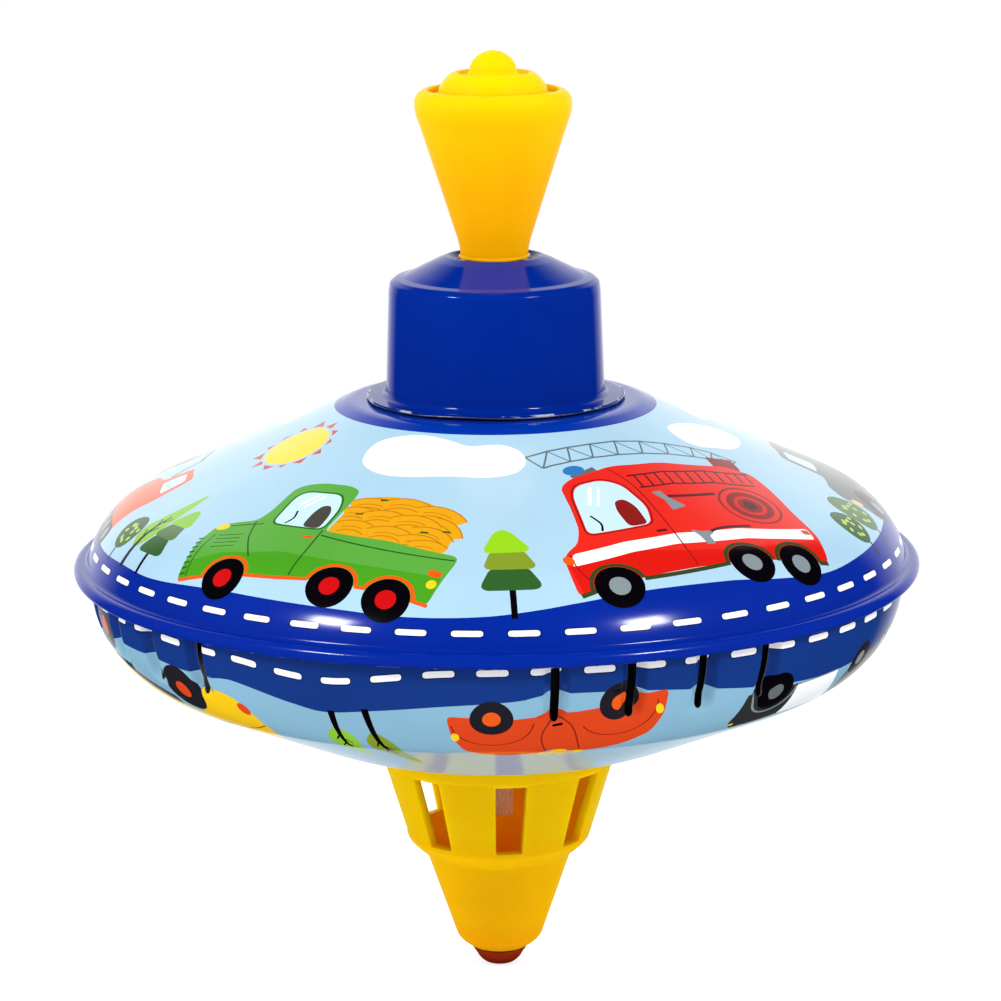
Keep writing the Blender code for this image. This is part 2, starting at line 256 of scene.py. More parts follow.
def lathe(name, material, path, columns, line_step=4.0, arc_degrees=12, bend=None, thick=None):
    """Turned piece with the path's exact normals. thick makes a sheet of the path."""
    runs = []
    for part in path.parts:
        if part[0] == "line":
            n = max(1, round(part[-1] / line_step))
        else:
            n = max(2, math.ceil(abs(part[4] - part[3]) / arc_degrees))
        runs.append(Path._part(part, np.linspace(0, 1, n + 1)))
    if thick:
        inner = []
        for run in reversed(runs):
            back = run[::-1].copy()
            back[:, :2] -= back[:, 2:] * thick
            back[:, 2:] *= -1
            inner.append(back)
        runs = runs + [None] + inner + [None]
    rings, spans = [], []
    for run in runs:
        if run is None:
            spans.append((len(rings) - 1, None, None))
            continue
        for k, row in enumerate(run):
            if not rings or math.dist(rings[-1], row[:2]) >= 1e-5:
                rings.append(tuple(row[:2]))
            if k:
                spans.append((len(rings) - 2, run[k - 1], row))
    if not thick and math.dist(rings[0], rings[-1]) < 1e-5:
        rings.pop()
    theta = np.arange(columns) * 360.0 / columns
    verts, starts = [], []
    for r, z in rings:
        starts.append(len(verts))
        if r < 1e-6:
            verts.append((0.0, 0.0, z))
        else:
            verts += [(x, y, z) for x, y in around(theta, r)]
    faces, normals = [], []
    unit = around(theta, 1.0)

    def lean(i, row):
        return (unit[i][0] * row[2], unit[i][1] * row[2], row[3])

    for low, first, last in spans:
        high = (low + 1) % len(rings)
        a, b = rings[low], rings[high]
        if first is None:
            d = (b[0] - a[0], b[1] - a[1])
            size = math.hypot(*d)
            first = last = (0, 0, -d[1] / size, d[0] / size)
        for i in range(columns):
            j = (i + 1) % columns
            n0i, n0j, n1i, n1j = lean(i, first), lean(j, first), lean(i, last), lean(j, last)
            if a[0] < 1e-6:
                faces.append((starts[low], starts[high] + j, starts[high] + i)[::-1])
                normals += [n1i, n1j, n0i]
            elif b[0] < 1e-6:
                faces.append((starts[low] + i, starts[low] + j, starts[high])[::-1])
                normals += [n1i, n0j, n0i]
            else:
                faces.append((starts[high] + i, starts[high] + j, starts[low] + j, starts[low] + i))
                normals += [n1i, n1j, n0j, n0i]
    verts = np.array(verts, float)
    if bend is not None:
        verts = bend(verts)
    return finish_mesh(name, verts, faces, normals, material)


def sides_of(polygon):
    return [(polygon[i], polygon[(i + 1) % len(polygon)]) for i in range(len(polygon))]


def inside(points, polygon):
    """Which points lie in the polygon."""
    x, y = points[:, 0], points[:, 1]
    hit = np.zeros(len(points), bool)
    for (x0, y0), (x1, y1) in sides_of(polygon):
        if y0 != y1:
            hit ^= ((y0 > y) != (y1 > y)) & (x < (x1 - x0) * (y - y0) / (y1 - y0) + x0)
    return hit


def dense(polygon, step, scale):
    """Outline with extra points, so that no side is longer than step."""
    out = []
    for (x0, y0), (x1, y1) in sides_of(polygon):
        size = math.hypot((x1 - x0) * scale, y1 - y0)
        k = max(1, math.ceil(size / step))
        out += [(x0 + (x1 - x0) * t / k, y0 + (y1 - y0) * t / k) for t in range(k)]
    return out


def skin(name, material, path, seam, columns, rows, shapes, holes, thick, base, back,
         scale=1.3, sink=None, extra=(), detail=2.2):
    """Sheet wrapped round the axis, with printed areas and punched holes.

    It is laid out flat in (theta, distance), cut along every printed edge, and
    wrapped on to the profile. sink(theta, s) is how far the sheet is pressed in.
    """
    high = seam + 360.0
    points = [(seam + 360.0 * i / columns, s) for s in rows for i in range(columns + 1)]
    points += [p for p in extra if seam < p[0] < high]
    edges = []
    width = columns + 1
    for i in range(columns):
        edges.append((i, i + 1))
        edges.append(((len(rows) - 1) * width + i, (len(rows) - 1) * width + i + 1))
    for j in range(len(rows) - 1):
        edges.append((j * width, (j + 1) * width))
        edges.append((j * width + columns, (j + 1) * width + columns))
    placed = []
    for ink, polygon in list(shapes) + [(None, h) for h in holes]:
        polygon = dense(polygon, detail, scale)
        start = len(points)
        points += polygon
        n = len(polygon)
        for i in range(n):
            a, b = polygon[i], polygon[(i + 1) % n]
            if a[0] == b[0] and a[0] in (seam, high):
                continue
            edges.append((start + i, start + (i + 1) % n))
        placed.append((ink, np.array(polygon)))
    flat = [Vector((x * scale, y)) for x, y in points]
    made = delaunay_2d_cdt(flat, edges, [], 0, 1e-4)
    uv = np.array([(p.x / scale, p.y) for p in made[0]])
    tris = np.array([f for f in made[2] if len(f) == 3], int)
    centre = uv[tris].mean(1)
    e0, e1 = uv[tris[:, 1]] - uv[tris[:, 0]], uv[tris[:, 2]] - uv[tris[:, 0]]
    area = np.abs(e0[:, 0] * e1[:, 1] - e0[:, 1] * e1[:, 0])
    keep = area > 1e-9
    ink_of = np.zeros(len(tris), int)
    names = [base]
    for ink, polygon in placed:
        lo, hi = polygon.min(0), polygon.max(0)
        near = np.where(((centre >= lo) & (centre <= hi)).all(1))[0]
        found = near[inside(centre[near], polygon)]
        if ink is None:
            keep[found] = False
            continue
        if ink not in names:
            names.append(ink)
        ink_of[found] = names.index(ink)
    tris, ink_of = tris[keep], ink_of[keep]

    # join the two sides of the seam
    low_side = {round(uv[i, 1], 3): i for i in np.where(np.abs(uv[:, 0] - seam) < 1e-3)[0]}
    swap = np.arange(len(uv))
    for i in np.where(np.abs(uv[:, 0] - high) < 1e-3)[0]:
        key = round(uv[i, 1], 3)
        for test in (key, round(key - 0.001, 3), round(key + 0.001, 3)):
            if test in low_side:
                swap[i] = low_side[test]
                break
    tris = swap[tris]
    used = np.unique(tris)
    index = -np.ones(len(uv), int)
    index[used] = np.arange(len(used))
    tris, uv = index[tris], uv[used]

    def surface(t, s):
        row = path.at(s)
        depth = sink(t, s) if sink else 0.0
        r = row[:, 0] - row[:, 2] * depth
        z = row[:, 1] - row[:, 3] * depth
        return np.concatenate([around(t, r), z[:, None]], 1)

    theta, s = uv[:, 0], uv[:, 1]
    outer = surface(theta, s)
    row = path.at(s)
    normal = np.concatenate([around(theta, row[:, 2]), row[:, 3:4]], 1)
    if sink:
        step = 0.02
        du = surface(theta + step, s) - surface(theta - step, s)
        dv = surface(theta, s + step) - surface(theta, s - step)
        bent = np.cross(du, dv)
        bent /= np.maximum(np.linalg.norm(bent, axis=1, keepdims=True), 1e-12)
        bent *= np.sign((bent * normal).sum(1))[:, None]
        pressed = sink(theta, s) > 1e-4
        normal[pressed] = bent[pressed]
    if callable(thick):
        row_in = thick(s)
        inner = np.concatenate([around(theta, row_in[:, 0]), row_in[:, 1:2]], 1)
        normal_in = -np.concatenate([around(theta, row_in[:, 2]), row_in[:, 3:4]], 1)
    else:
        inner = outer - normal * thick
        normal_in = -normal
    count = len(outer)
    verts = np.concatenate([outer, inner])

    # outer faces look away from the sheet
    a, b, c = outer[tris[:, 0]], outer[tris[:, 1]], outer[tris[:, 2]]
    turn = (np.cross(b - a, c - a) * normal[tris[:, 0]]).sum(1) < 0
    tris[turn] = tris[turn][:, ::-1]
    faces = tris.tolist()
    loops = normal[tris].reshape(-1, 3)
    ink_loops = np.repeat(np.array([INK[n] for n in names])[ink_of], 3, 0)
    back_tris = tris[:, ::-1] + count
    faces += back_tris.tolist()
    loops = np.concatenate([loops, normal_in[back_tris - count].reshape(-1, 3)])
    ink_loops = np.concatenate([ink_loops, np.tile(INK[back], (len(tris) * 3, 1))])

    seen = {}
    for k, tri in enumerate(tris.tolist()):
        for i in range(3):
            key = (tri[i], tri[(i + 1) % 3])
            seen[key] = k
    rim, rim_normals, rim_inks = [], [], []
    for (i, j), k in seen.items():
        if (j, i) in seen:
            continue
        quad = (j, i, i + count, j + count)
        p = verts[list(quad)]
        face = np.cross(p[1] - p[0], p[3] - p[0])
        rim.append(quad)
        rim_normals += [face] * 4
        rim_inks += [INK[back]] * 4
    faces += rim
    loops = np.concatenate([loops, np.array(rim_normals).reshape(-1, 3)])
    ink_loops = np.concatenate([ink_loops, np.array(rim_inks).reshape(-1, 3)])
    return finish_mesh(name, verts, faces, loops, material, ink_loops)


# ---------------------------------------------------------------- printed picture
ROAD_TOP = 5.0


class Drawing:
    """Printed areas of one shell, drawn in flat millimetres round an angle.

    The shell is taken as a cone: span is its slant length, and stretch turns angles
    round its axis into angles on the flat sheet.
    """

    def __init__(self, stretch, span, to_path):
        self.stretch, self.span, self.to_path = stretch, span, to_path
        self.turn = 0.0
        self.shapes = []
        self.mirror = 1.0

    def at(self, theta, mirror=1.0):
        self.turn, self.mirror = theta, mirror
        return self

    def put(self, ink, points):
        """Area whose own zero lies on the road, 5 mm up from the shell's zero line."""
        apex = self.span - ROAD_TOP
        placed = []
        for x, y in points:
            x *= self.mirror
            angle = math.atan2(x, apex - y)
            v = self.span - math.hypot(x, apex - y)
            placed.append((self.turn + math.degrees(angle) / self.stretch, self.to_path(v)))
        self.shapes.append((ink, placed))

    def disc(self, ink, x, y, rx, ry=None, sides=18, tilt=0.0):
        ry = rx if ry is None else ry
        c, s = math.cos(math.radians(tilt)), math.sin(math.radians(tilt))
        points = []
        for i in range(sides):
            a = math.tau * i / sides
            u, w = rx * math.cos(a), ry * math.sin(a)
            points.append((x + u * c - w * s, y + u * s + w * c))
        self.put(ink, points)

    def area(self, ink, points, reach=1.2, steps=3):
        """Area with its corners rounded."""
        self.put(ink, soft(points, reach, steps))

    def stroke(self, ink, points, width):
        self.put(ink, tapered(points, width, width))

    def trace(self, ink, points, width, steps=4):
        """Smooth line through points."""
        self.stroke(ink, curve(points, steps, False), width)

    def loop(self, ink, points, width):
        """Outline drawn as short strokes."""
        for a, b in zip(points, points[1:] + points[:1]):
            self.stroke(ink, [a, b], width)


def tapered(points, first, last):
    """Outline of a stroke whose width goes from first to last."""
    left, right = [], []
    for i, (x, y) in enumerate(points):
        a = points[max(i - 1, 0)]
        b = points[min(i + 1, len(points) - 1)]
        size = math.dist(a, b)
        half = (first + (last - first) * i / (len(points) - 1)) / 2
        nx, ny = -(b[1] - a[1]) / size * half, (b[0] - a[0]) / size * half
        left.append((x + nx, y + ny))
        right.append((x - nx, y - ny))
    return left + right[::-1]


def soft(points, reach=1.2, steps=3):
    """Outline with its corners rounded."""
    def towards(p, other):
        size = math.dist(other, p)
        cut = min(reach, size * 0.45)
        return (p[0] + (other[0] - p[0]) / size * cut, p[1] + (other[1] - p[1]) / size * cut)

    out = []
    n = len(points)
    for i, p in enumerate(points):
        s, e = towards(p, points[i - 1]), towards(p, points[(i + 1) % n])
        for k in range(steps + 1):
            t = k / steps
            out.append(tuple(
                (1 - t) ** 2 * s[j] + 2 * t * (1 - t) * p[j] + t * t * e[j] for j in (0, 1)))
    return out


def curve(points, steps=4, closed=True):
    """Smooth outline through points."""
    out = []
    n = len(points)
    for i in range(n if closed else n - 1):
        p0, p1, p2, p3 = (
            points[(i + k) % n if closed else min(max(i + k, 0), n - 1)] for k in (-1, 0, 1, 2))
        for k in range(steps):
            t = k / steps
            out.append(tuple(
                0.5 * (2 * p1[j] + (p2[j] - p0[j]) * t
                       + (2 * p0[j] - 5 * p1[j] + 4 * p2[j] - p3[j]) * t * t
                       + (3 * p1[j] - p0[j] - 3 * p2[j] + p3[j]) * t ** 3) for j in (0, 1)))
    if not closed:
        out.append(points[-1])
    return out


def bow(x, y, radius, angles):
    """Points on a circle, at angles in degrees."""
    turns = [math.radians(q) for q in angles]
    return [(x + radius * math.cos(a), y + radius * math.sin(a)) for a in turns]


def arch(x, y, radius, low):
    """Half round area over a wheel, down to a level."""
    top = bow(x, y, radius, [180 - 180 * i / 14 for i in range(15)])
    return top + [(x + radius, low), (x - radius, low)]


def wheel(d, x, y, radius, hub, hub_ink, tyre="black"):
    d.disc(tyre, x, y, radius, sides=28)
    d.disc(hub_ink, x, y, hub, sides=16)


def pine(d, x, y, size, inks=("pine", "olive", "lime")):
    """Tree of three stacked tiers."""
    def at(points):
        return [(x + u * size, y + w * size) for u, w in points]
    d.stroke("black", at([(0.3, -0.1), (0, 8)]), 1.35 * size)
    d.area(inks[0], at([(-6.6, 7.6), (-4.4, 12.9), (3.4, 13.2), (6.3, 8), (5.2, 6.7), (-5.4, 6.5)]),
        1.3 * size, 4)
    d.area(inks[1], at([(-5.7, 13.7), (-4.2, 18.8), (2.8, 19), (5.3, 13.9), (4.2, 12.7),
        (-4.8, 12.6)]), 1.3 * size, 4)
    d.area(inks[2], at([(-5.6, 19.3), (-3.5, 24.8), (-1.8, 26.4), (0.2, 25.6), (4.2, 19.9),
        (3.3, 18.5), (-4.8, 18.2)]), 1.3 * size, 4)


def leaf_tree(d, x, y, height, wide, lean, ink):
    """Tree shaped like one upright leaf with a branching stem."""
    def spot(u, w):
        return (x + u * wide + lean * w, y + w * height)
    d.put(ink, curve([
        spot(0, 0.2), spot(-0.72, 0.28), spot(-0.98, 0.4), spot(-0.7, 0.62), spot(0, 1),
        spot(0.7, 0.62), spot(0.98, 0.4), spot(0.72, 0.28)]))
    d.put("black", tapered([spot(0, 0), spot(0, 0.3), spot(0, 0.62)], 1.7, 0.5))
    for w, side in ((0.3, -1), (0.36, 1), (0.46, -1), (0.5, 1)):
        d.stroke("black", [spot(0, w), spot(side * 0.45, w + 0.1)], 0.4)


def egg_tree(d, x, y, rx, ry, ink, spots):
    d.stroke("black", [(x, y - ry - 3.4), (x, y)], 0.7)
    d.disc(ink, x, y, rx, ry, sides=24)
    for i in range(9):
        a = i * 2.4
        q = 0.28 + 0.42 * ((i * 0.37) % 1)
        d.disc(spots, x + rx * q * math.cos(a), y + ry * q * math.sin(a), 0.55, 0.75, sides=8,
            tilt=30 * i)


def cloud(d, points):
    d.put("white", curve(points))


def sill_points(first, last, y):
    """Points along a straight sill, close enough for it to follow the rim."""
    return [(x, y) for x in range(first, last, -6)]


def heap(d, spots):
    """Loose load of curved fruit, drawn one behind the other."""
    for x, y, radius, first, last in spots:
        arc = bow(x, y, radius, [first + (last - first) * i / 8 for i in range(9)])
        d.stroke("load_line", arc, 3.7)
        d.stroke("load", arc, 3)
        inner = [(x + (px - x) * (radius - 0.5) / radius, y + (py - y) * (radius - 0.5) / radius)
                 for px, py in arc[2:-1]]
        d.stroke("load_line", inner, 0.28)


def truck(d):
    wheels = ((-20.5, 6.4), (6.1, 6.2), (19.4, 5.7))
    d.area("load", [(-3, 21.6), (-1.6, 33), (0.6, 35.4), (5, 36.8), (12.5, 37.2), (18.6, 35.8),
        (22, 33), (24.6, 27.6), (25.4, 21.4)], 2)
    heap(d, [(3, 26, 8, 50, 128), (10.6, 26.8, 8.6, 48, 130), (18, 26.4, 8.2, 44, 124),
        (19, 24.4, 6.6, 24, 96), (0.6, 23.8, 6.6, 52, 116), (7.6, 22.6, 7.8, 44, 130),
        (14.8, 22.6, 7.8, 50, 134), (19, 20.8, 6.6, 40, 122), (2.2, 18.8, 7, 52, 122),
        (11, 18, 7.4, 46, 128), (18.4, 17.6, 6.8, 48, 128), (21, 17.2, 6, 56, 130)])
    for x, y in ((4.6, 35.2), (1.4, 29.6), (18, 27), (22.4, 28.6)):
        d.stroke("line", [(x - 0.8, y), (x + 0.9, y + 0.3)], 0.55)
    body = [(-33.5, 6.9), (-32.9, 12), (-32.6, 18), (-31, 23.6), (-27, 24.8), (-21.6, 25.4),
        (-20, 29), (-18.6, 37.2), (-16.4, 38.9), (-12, 39.6), (-5.2, 39), (-2.4, 37.6),
        (-2.2, 34.6), (-3.4, 22.6), (12, 22.2), (28.6, 21.8), (29, 18.8),
        (28.3, 6.8)] + sill_points(22, -32, 7)
    d.area("green", body, 1.6)
    d.area("deep_green", [(-33.4, 6.6), (-32.9, 11.6), (-24, 13.6), (-10, 14.6), (4, 13.4),
        (16, 13.4), (28.4, 14.6), (28.2, 6.9)] + sill_points(22, -32, 7), 1.2)
    d.loop("line", soft([(-17.6, 24.2), (-4, 22.9), (-3.6, 30.8), (-5.4, 35.9), (-14.8, 36.5),
        (-16.9, 34.4)], 2.2, 4), 0.4)
    d.area("glass", [(-17.3, 24.5), (-4.3, 23.2), (-3.9, 30.8), (-5.6, 35.6), (-14.6, 36.2),
        (-16.6, 34.2)], 2.2, 4)
    d.area("seat", [(-9.6, 23.7), (-5.2, 23.3), (-5, 28.6), (-6.2, 31.6), (-8.4, 31.4),
        (-9.4, 28.4)], 1.4)
    d.trace("black", [(-14.2, 24.6), (-13, 26.6), (-13.4, 29.2)], 0.5)
    d.stroke("white", [(-14, 31.4), (-11, 35.2)], 0.7)
    d.stroke("white", [(-12.6, 30.6), (-9.4, 34.8)], 0.5)
    # orange edge along the sill and over the wheels
    for a, b in ((-33, -25), (-15.4, 0.6), (11.6, 14.2)):
        d.stroke("orange", [(a, 7), (b, 7.1)], 0.9)
    d.stroke("orange", [(24.4, 6.9), (28.4, 6.8)], 0.9)
    for x, y in wheels:
        d.stroke("orange", bow(x, y, 5.8, range(12, 170, 12)), 0.9)
    d.stroke("line", [(-3.9, 22.9), (-4.3, 7.6)], 0.35)
    d.trace("line", [(-21.6, 25), (-20.2, 19), (-16.6, 12.4)], 0.35)
    d.trace("line", [(-30.8, 23), (-26.2, 23.6), (-19.2, 24.2)], 0.35)
    d.stroke("line", [(-3.4, 21.2), (28.4, 20.4)], 0.4)
    d.stroke("orange", [(-7.4, 20.2), (-4.8, 20.2)], 0.8)
    for y in (15.8, 17.2, 18.6, 20):
        d.stroke("line", [(-28.4, y), (-22.4, y + 0.4)], 0.28)
    for i in range(8):
        y = 8.4 + 1.5 * i
        d.stroke("line", [(-33.1, y), (-31.7, y + 0.2)], 0.45)
    d.trace("line", [(-31.2, 7.6), (-30.9, 14), (-29.6, 20.4)], 0.3)
    d.disc("lamp", -29.2, 23.2, 1.7, 1.1, tilt=8)
    d.area("orange", [(24.9, 14.1), (27.9, 14), (27.9, 16), (24.9, 16.1)], 0.8)
    d.disc("lamp", 27, 12, 1.1, 1.2)
    for x, y in wheels:
        wheel(d, x, y, 5.25, 2.3, "hub_red")


def fire_engine(d):
    wheels = ((-20, 8.6), (12.8, 8.8), (25.8, 8.2))
    # ladder laid along the roof
    top = [(-16.9, 54.9), (-11.5, 55.1), (-6.6, 55), (-1.1, 54.9), (5.2, 55), (11.4, 54.5),
        (17.6, 53.6), (24.1, 52.4), (29, 50.8), (34, 47.6)]
    low = [(-15.3, 49.9), (-13.2, 50.1), (-8.5, 50.1), (-2.9, 50.1), (3.4, 50), (9.6, 49.8),
        (16.2, 49.3), (22.6, 48.4), (27, 47.6), (31.6, 46.2)]
    d.stroke("ladder", top, 0.5)
    d.stroke("ladder", low, 0.5)
    for i in range(len(top)):
        if i != 1:
            d.stroke("ladder", [top[i], low[i]], 0.42)
    for i in range(1, len(top) - 1):
        d.stroke("ladder", [top[i], low[i + 1]], 0.32)
    d.stroke("ladder", [low[0], top[1]], 0.42)
    d.area("dark_red", [(25.4, 43.6), (25.6, 48.5), (32.7, 48.1), (32.3, 43.2)], 0.5)
    d.stroke("mid_grey", [(-11.2, 44.6), (-4.8, 46.2)], 1.6)
    d.disc("blue", -9.6, 46.9, 2.5, 1.7)
    d.area("red", [(-29.4, 8.8), (-28.6, 14), (-27.2, 19.4), (-25.4, 21.6), (-21.8, 23.4),
        (-19, 27.9), (-16.9, 35.3), (-15.4, 42.4), (-11.8, 44.4), (-1, 46.2), (11.1, 46),
        (28.8, 44.6), (34.4, 42), (35.3, 36), (35, 25.8), (35.4, 16.1), (34.4, 9)]
        + sill_points(28, -26, 9), 1.8)
    d.area("deep_red", [(-28.2, 9.2), (-27.4, 17), (-10, 16.9), (34.6, 15.4), (34.2, 9.1)]
        + sill_points(28, -26, 9.1), 0.8)
    d.area("white", [(-24.6, 20.6), (-12, 20.8), (0.6, 20.7), (16, 20.2), (34.2, 19.5), (34, 15.7),
        (16, 16.5), (-1.4, 17.2), (-12, 17.1), (-26.6, 16.8)], 0.8)
    # dark sill and arches
    for a, b in ((-28.8, -24.2), (-14, 7.2), (31.4, 34.2)):
        d.stroke("sill", [(a, 8.8), (b, 9)], 1.1)
    for x, y in wheels:
        d.stroke("sill", bow(x, y, 6, range(6, 180, 12)), 1)
    d.loop("dark_red", soft([(-18.6, 25), (-2.6, 24.6), (-0.2, 31), (-1.6, 39.6), (-5.4, 42.6),
        (-12.4, 42.2), (-14.8, 38.8)], 2.2, 4), 0.4)
    d.area("glass", [(-18.1, 25.4), (-2.9, 25), (-0.7, 31), (-2, 39.2), (-5.6, 42.1), (-12.1, 41.7),
        (-14.4, 38.6)], 2.2, 4)
    d.area("dark_red", [(-8.2, 25.3), (-3.6, 25.2), (-3, 31.4), (-4.2, 34.6), (-6.8, 34.4),
        (-8, 31)], 1.4)
    d.trace("black", [(-14.6, 25.6), (-13.6, 28), (-14.4, 31.2)], 0.5)
    d.stroke("white", [(-12.6, 34.6), (-9.4, 40.4)], 0.8)
    d.stroke("white", [(-11, 33.8), (-7.6, 39.8)], 0.5)
    d.trace("dark_red", [(-2, 45.6), (0.6, 38), (0.6, 25), (-0.6, 9.6)], 0.35)
    d.trace("dark_red", [(-25.2, 20.8), (-26, 15), (-24.6, 10.2)], 0.35)
    d.stroke("rung", [(-3.2, 22.4), (-0.8, 22.3)], 0.8)
    # side ladder
    d.stroke("rung", [(0.9, 42.2), (10, 42.6), (21, 42.5), (33, 41.8)], 0.55)
    d.stroke("rung", [(1.6, 37.7), (10, 38), (21, 37.8), (31.8, 36.8)], 0.55)
    for i in range(12):
        x = 2.6 + i * 2.66
        d.stroke("rung", [(x, 42.2), (x, 37.8)], 0.5)
    # hose reel
    for radius, ink in ((7.5, "dark_red"), (6.9, "red"), (5.6, "dark_red"), (3.9, "deep_red"),
            (2.9, "dark_red"), (1.6, "rung")):
        d.disc(ink, 24.9, 28.6, radius, radius * 0.96, sides=28)
    d.trace("rung", [(19.8, 20.9), (13.4, 21), (9.6, 20.2), (7.4, 18.6)], 0.8, 5)
    d.area("grey", [(4.6, 21.4), (6.4, 20.4), (9, 20.2), (9.2, 19.2), (7.8, 18.6), (7.6, 15.6),
        (5.6, 15.8), (5.6, 18.6)], 0.5)
    # axe
    d.stroke("rung", [(6.2, 33.6), (18.4, 33.4)], 0.95)
    d.area("grey", [(3.2, 35.6), (5.6, 35.8), (6, 33.4), (8.6, 29.6), (4.6, 28.6), (4.8, 32.4)],
        0.5)
    d.disc("orange", -26.4, 19, 1.2, 1.5)
    d.area("ray", [(32, 17.4), (34, 17.3), (34, 19), (32, 19.1)], 0.5)
    for x, y in wheels:
        wheel(d, x, y, 5.4, 2.35, "grey")


def bus(d, body, trim, hub):
    """Plain bus, for the back."""
    d.area(body, [(-28, 6), (-28.6, 20), (-26.4, 35), (-23, 37.6), (24, 38), (27.6, 34.6),
        (28.4, 20), (28, 6)], 3)
    for i in range(4):
        x = -12 + i * 10.4
        d.area("glass", [(x - 4, 23.4), (x + 4, 23.2), (x + 3.8, 33.4), (x - 3.8, 33.6)], 1.4)
        d.stroke("white", [(x - 2.4, 28.6), (x + 0.6, 32.2)], 0.6)
    d.area("glass", [(-27, 22), (-19.6, 22.4), (-19.8, 33.8), (-24.8, 33.4)], 1.4)
    d.stroke(trim, [(-28.2, 18.6), (28.2, 18.2)], 2)
    d.stroke("sill", [(-28, 8.6), (28, 8.4)], 1.2)
    for x in (-17.5, 17.5):
        d.put(trim, arch(x, 7.4, 6.5, 6.6))
        wheel(d, x, 7.4, 5.5, 2.3, hub)
    d.disc("lamp", -27, 13.2, 1.3, 1.7)
    d.disc("orange", 27.2, 13.2, 1, 1.6)
    for x in (-8, 10):
        d.stroke(trim, [(x, 17), (x, 9.4)], 0.4)


def tractor(d, body, line, hub):
    """Farm tractor with one big wheel and one small one."""
    d.area(body, [(-22, 11), (-23, 20), (-20, 22.6), (-4, 23.4), (-3.4, 37), (12, 37.6), (15.4, 22),
        (18, 12)], 1.8)
    d.area("glass", [(-0.8, 24.4), (11.4, 24), (9.8, 35), (-0.6, 34.6)], 1.2)
    d.stroke("dark_grey", [(-14.4, 22.6), (-14.4, 31)], 1.2)
    d.stroke(line, [(-20.4, 19.4), (-5, 20.4)], 0.4)
    for x in (-19, -16.8, -14.6):
        d.stroke(line, [(x, 18.2), (x, 13.2)], 0.5)
    d.disc("lamp", -21.6, 16.4, 1.2, 1.6)
    wheel(d, -15.4, 7.2, 5.6, 2.2, hub)
    wheel(d, 8.6, 10.6, 9.4, 4, hub)
    d.disc("dark_grey", 8.6, 10.6, 1.4)


def small_car(d, body, line, hub):
    """Open car, drawn the right way up from its wheels."""
    d.area(body, [(-6.2, 6.2), (-5.2, 12.4), (-2.6, 19.3), (1.6, 22.9), (6, 24.4), (11.6, 23.6),
        (15.6, 20.6), (20.4, 24), (25.4, 24.6), (30.4, 23.4), (36.1, 21), (40, 16.2), (42.6, 10.4),
        (37, 8.8), (27, 8.2), (18.5, 7.4), (7.1, 7.2), (-0.3, 6.4)], 1.4)
    for x, y, first, last in ((3.6, 7, 12, 168), (31, 9.2, 16, 164)):
        d.stroke(line, bow(x, y, 9, range(first, last + 1, 12)), 0.32)
    d.trace(line, [(14, 21.4), (13.6, 14), (15.6, 9.6), (18.8, 9.4), (20.6, 13), (21, 22.6)], 0.35,
        5)
    d.stroke("black", [(16.2, 10.4), (18.4, 10.4)], 0.6)
    for x, y in ((3.5, 6.9), (31.4, 8.6)):
        wheel(d, x, y, 4.7, 2, hub, "tyre")
    d.disc("lamp", -4.4, 12.8, 0.9, 1.5)
    d.disc("lamp", 39.4, 14.4, 0.9, 1.5)


# each shell's outer profile, and the distance along it of its picture's zero line
UPPER = Path()
UPPER.line((8.2, 132.4), (31.53, 132.4))
UPPER.arc((31.53, 126.4), 6.0, 90.0, 66.0)
UPPER.line((33.97, 131.88), (79.75, 111.5))
UPPER.arc((70.8, 91.4), 22.0, 66.0, 19.1)
UPPER.line((91.59, 98.6), (91.83, 97.91))
UPPER.arc((92.96, 98.3), 1.2, 199.1, 270.0)
UPPER.line((92.96, 97.1), (93.45, 97.1))
UPPER.arc((93.45, 95.55), 1.55, 90.0, -90.0)
UPPER.line((93.45, 94.0), (92.9, 94.0))
UPPER_ZERO = UPPER.parts[3][-2] + UPPER.parts[3][-1] - 0.537

LOWER = Path()
LOWER.line((93.9, 95.2), (92.5, 95.2))
LOWER.arc((92.5, 94.2), 1.0, 90.0, 180.0)
LOWER.line((91.5, 94.2), (91.5, 93.46))
LOWER.arc((67.5, 93.46), 24.0, 0.0, -66.54)
LOWER.line((77.07, 71.45), (47.02, 58.396))
LOWER.arc((28.0, 102.14), 47.7, -66.5, -90.0)
LOWER.line((28.0, 54.44), (9.3, 54.44))
LOWER_ZERO = LOWER.parts[3][-2]

SEAM = -145.0     # angle where the sheets are joined, at the back


def smooth_round(theta, knots):
    """Smooth value at theta through (theta, value) knots all the way round."""
    knots = sorted(knots)
    ang = np.array([k[0] for k in knots], float)
    val = np.array([k[1] for k in knots], float)
    x = np.concatenate([ang[-2:] - 360, ang, ang[:3] + 360])
    y = np.concatenate([val[-2:], val, val[:3]])
    t = (theta - ang[0]) % 360 + ang[0]
    i = int(np.searchsorted(x, t, side="right")) - 1
    i = min(max(i, 1), len(x) - 3)
    h = x[i + 1] - x[i]
    m0 = (y[i + 1] - y[i - 1]) / (x[i + 1] - x[i - 1]) * h
    m1 = (y[i + 2] - y[i]) / (x[i + 2] - x[i]) * h
    u = (t - x[i]) / h
    return ((2 * u ** 3 - 3 * u ** 2 + 1) * y[i] + (u ** 3 - 2 * u ** 2 + u) * m0
            + (-2 * u ** 3 + 3 * u ** 2) * y[i + 1] + (u ** 3 - u ** 2) * m1)


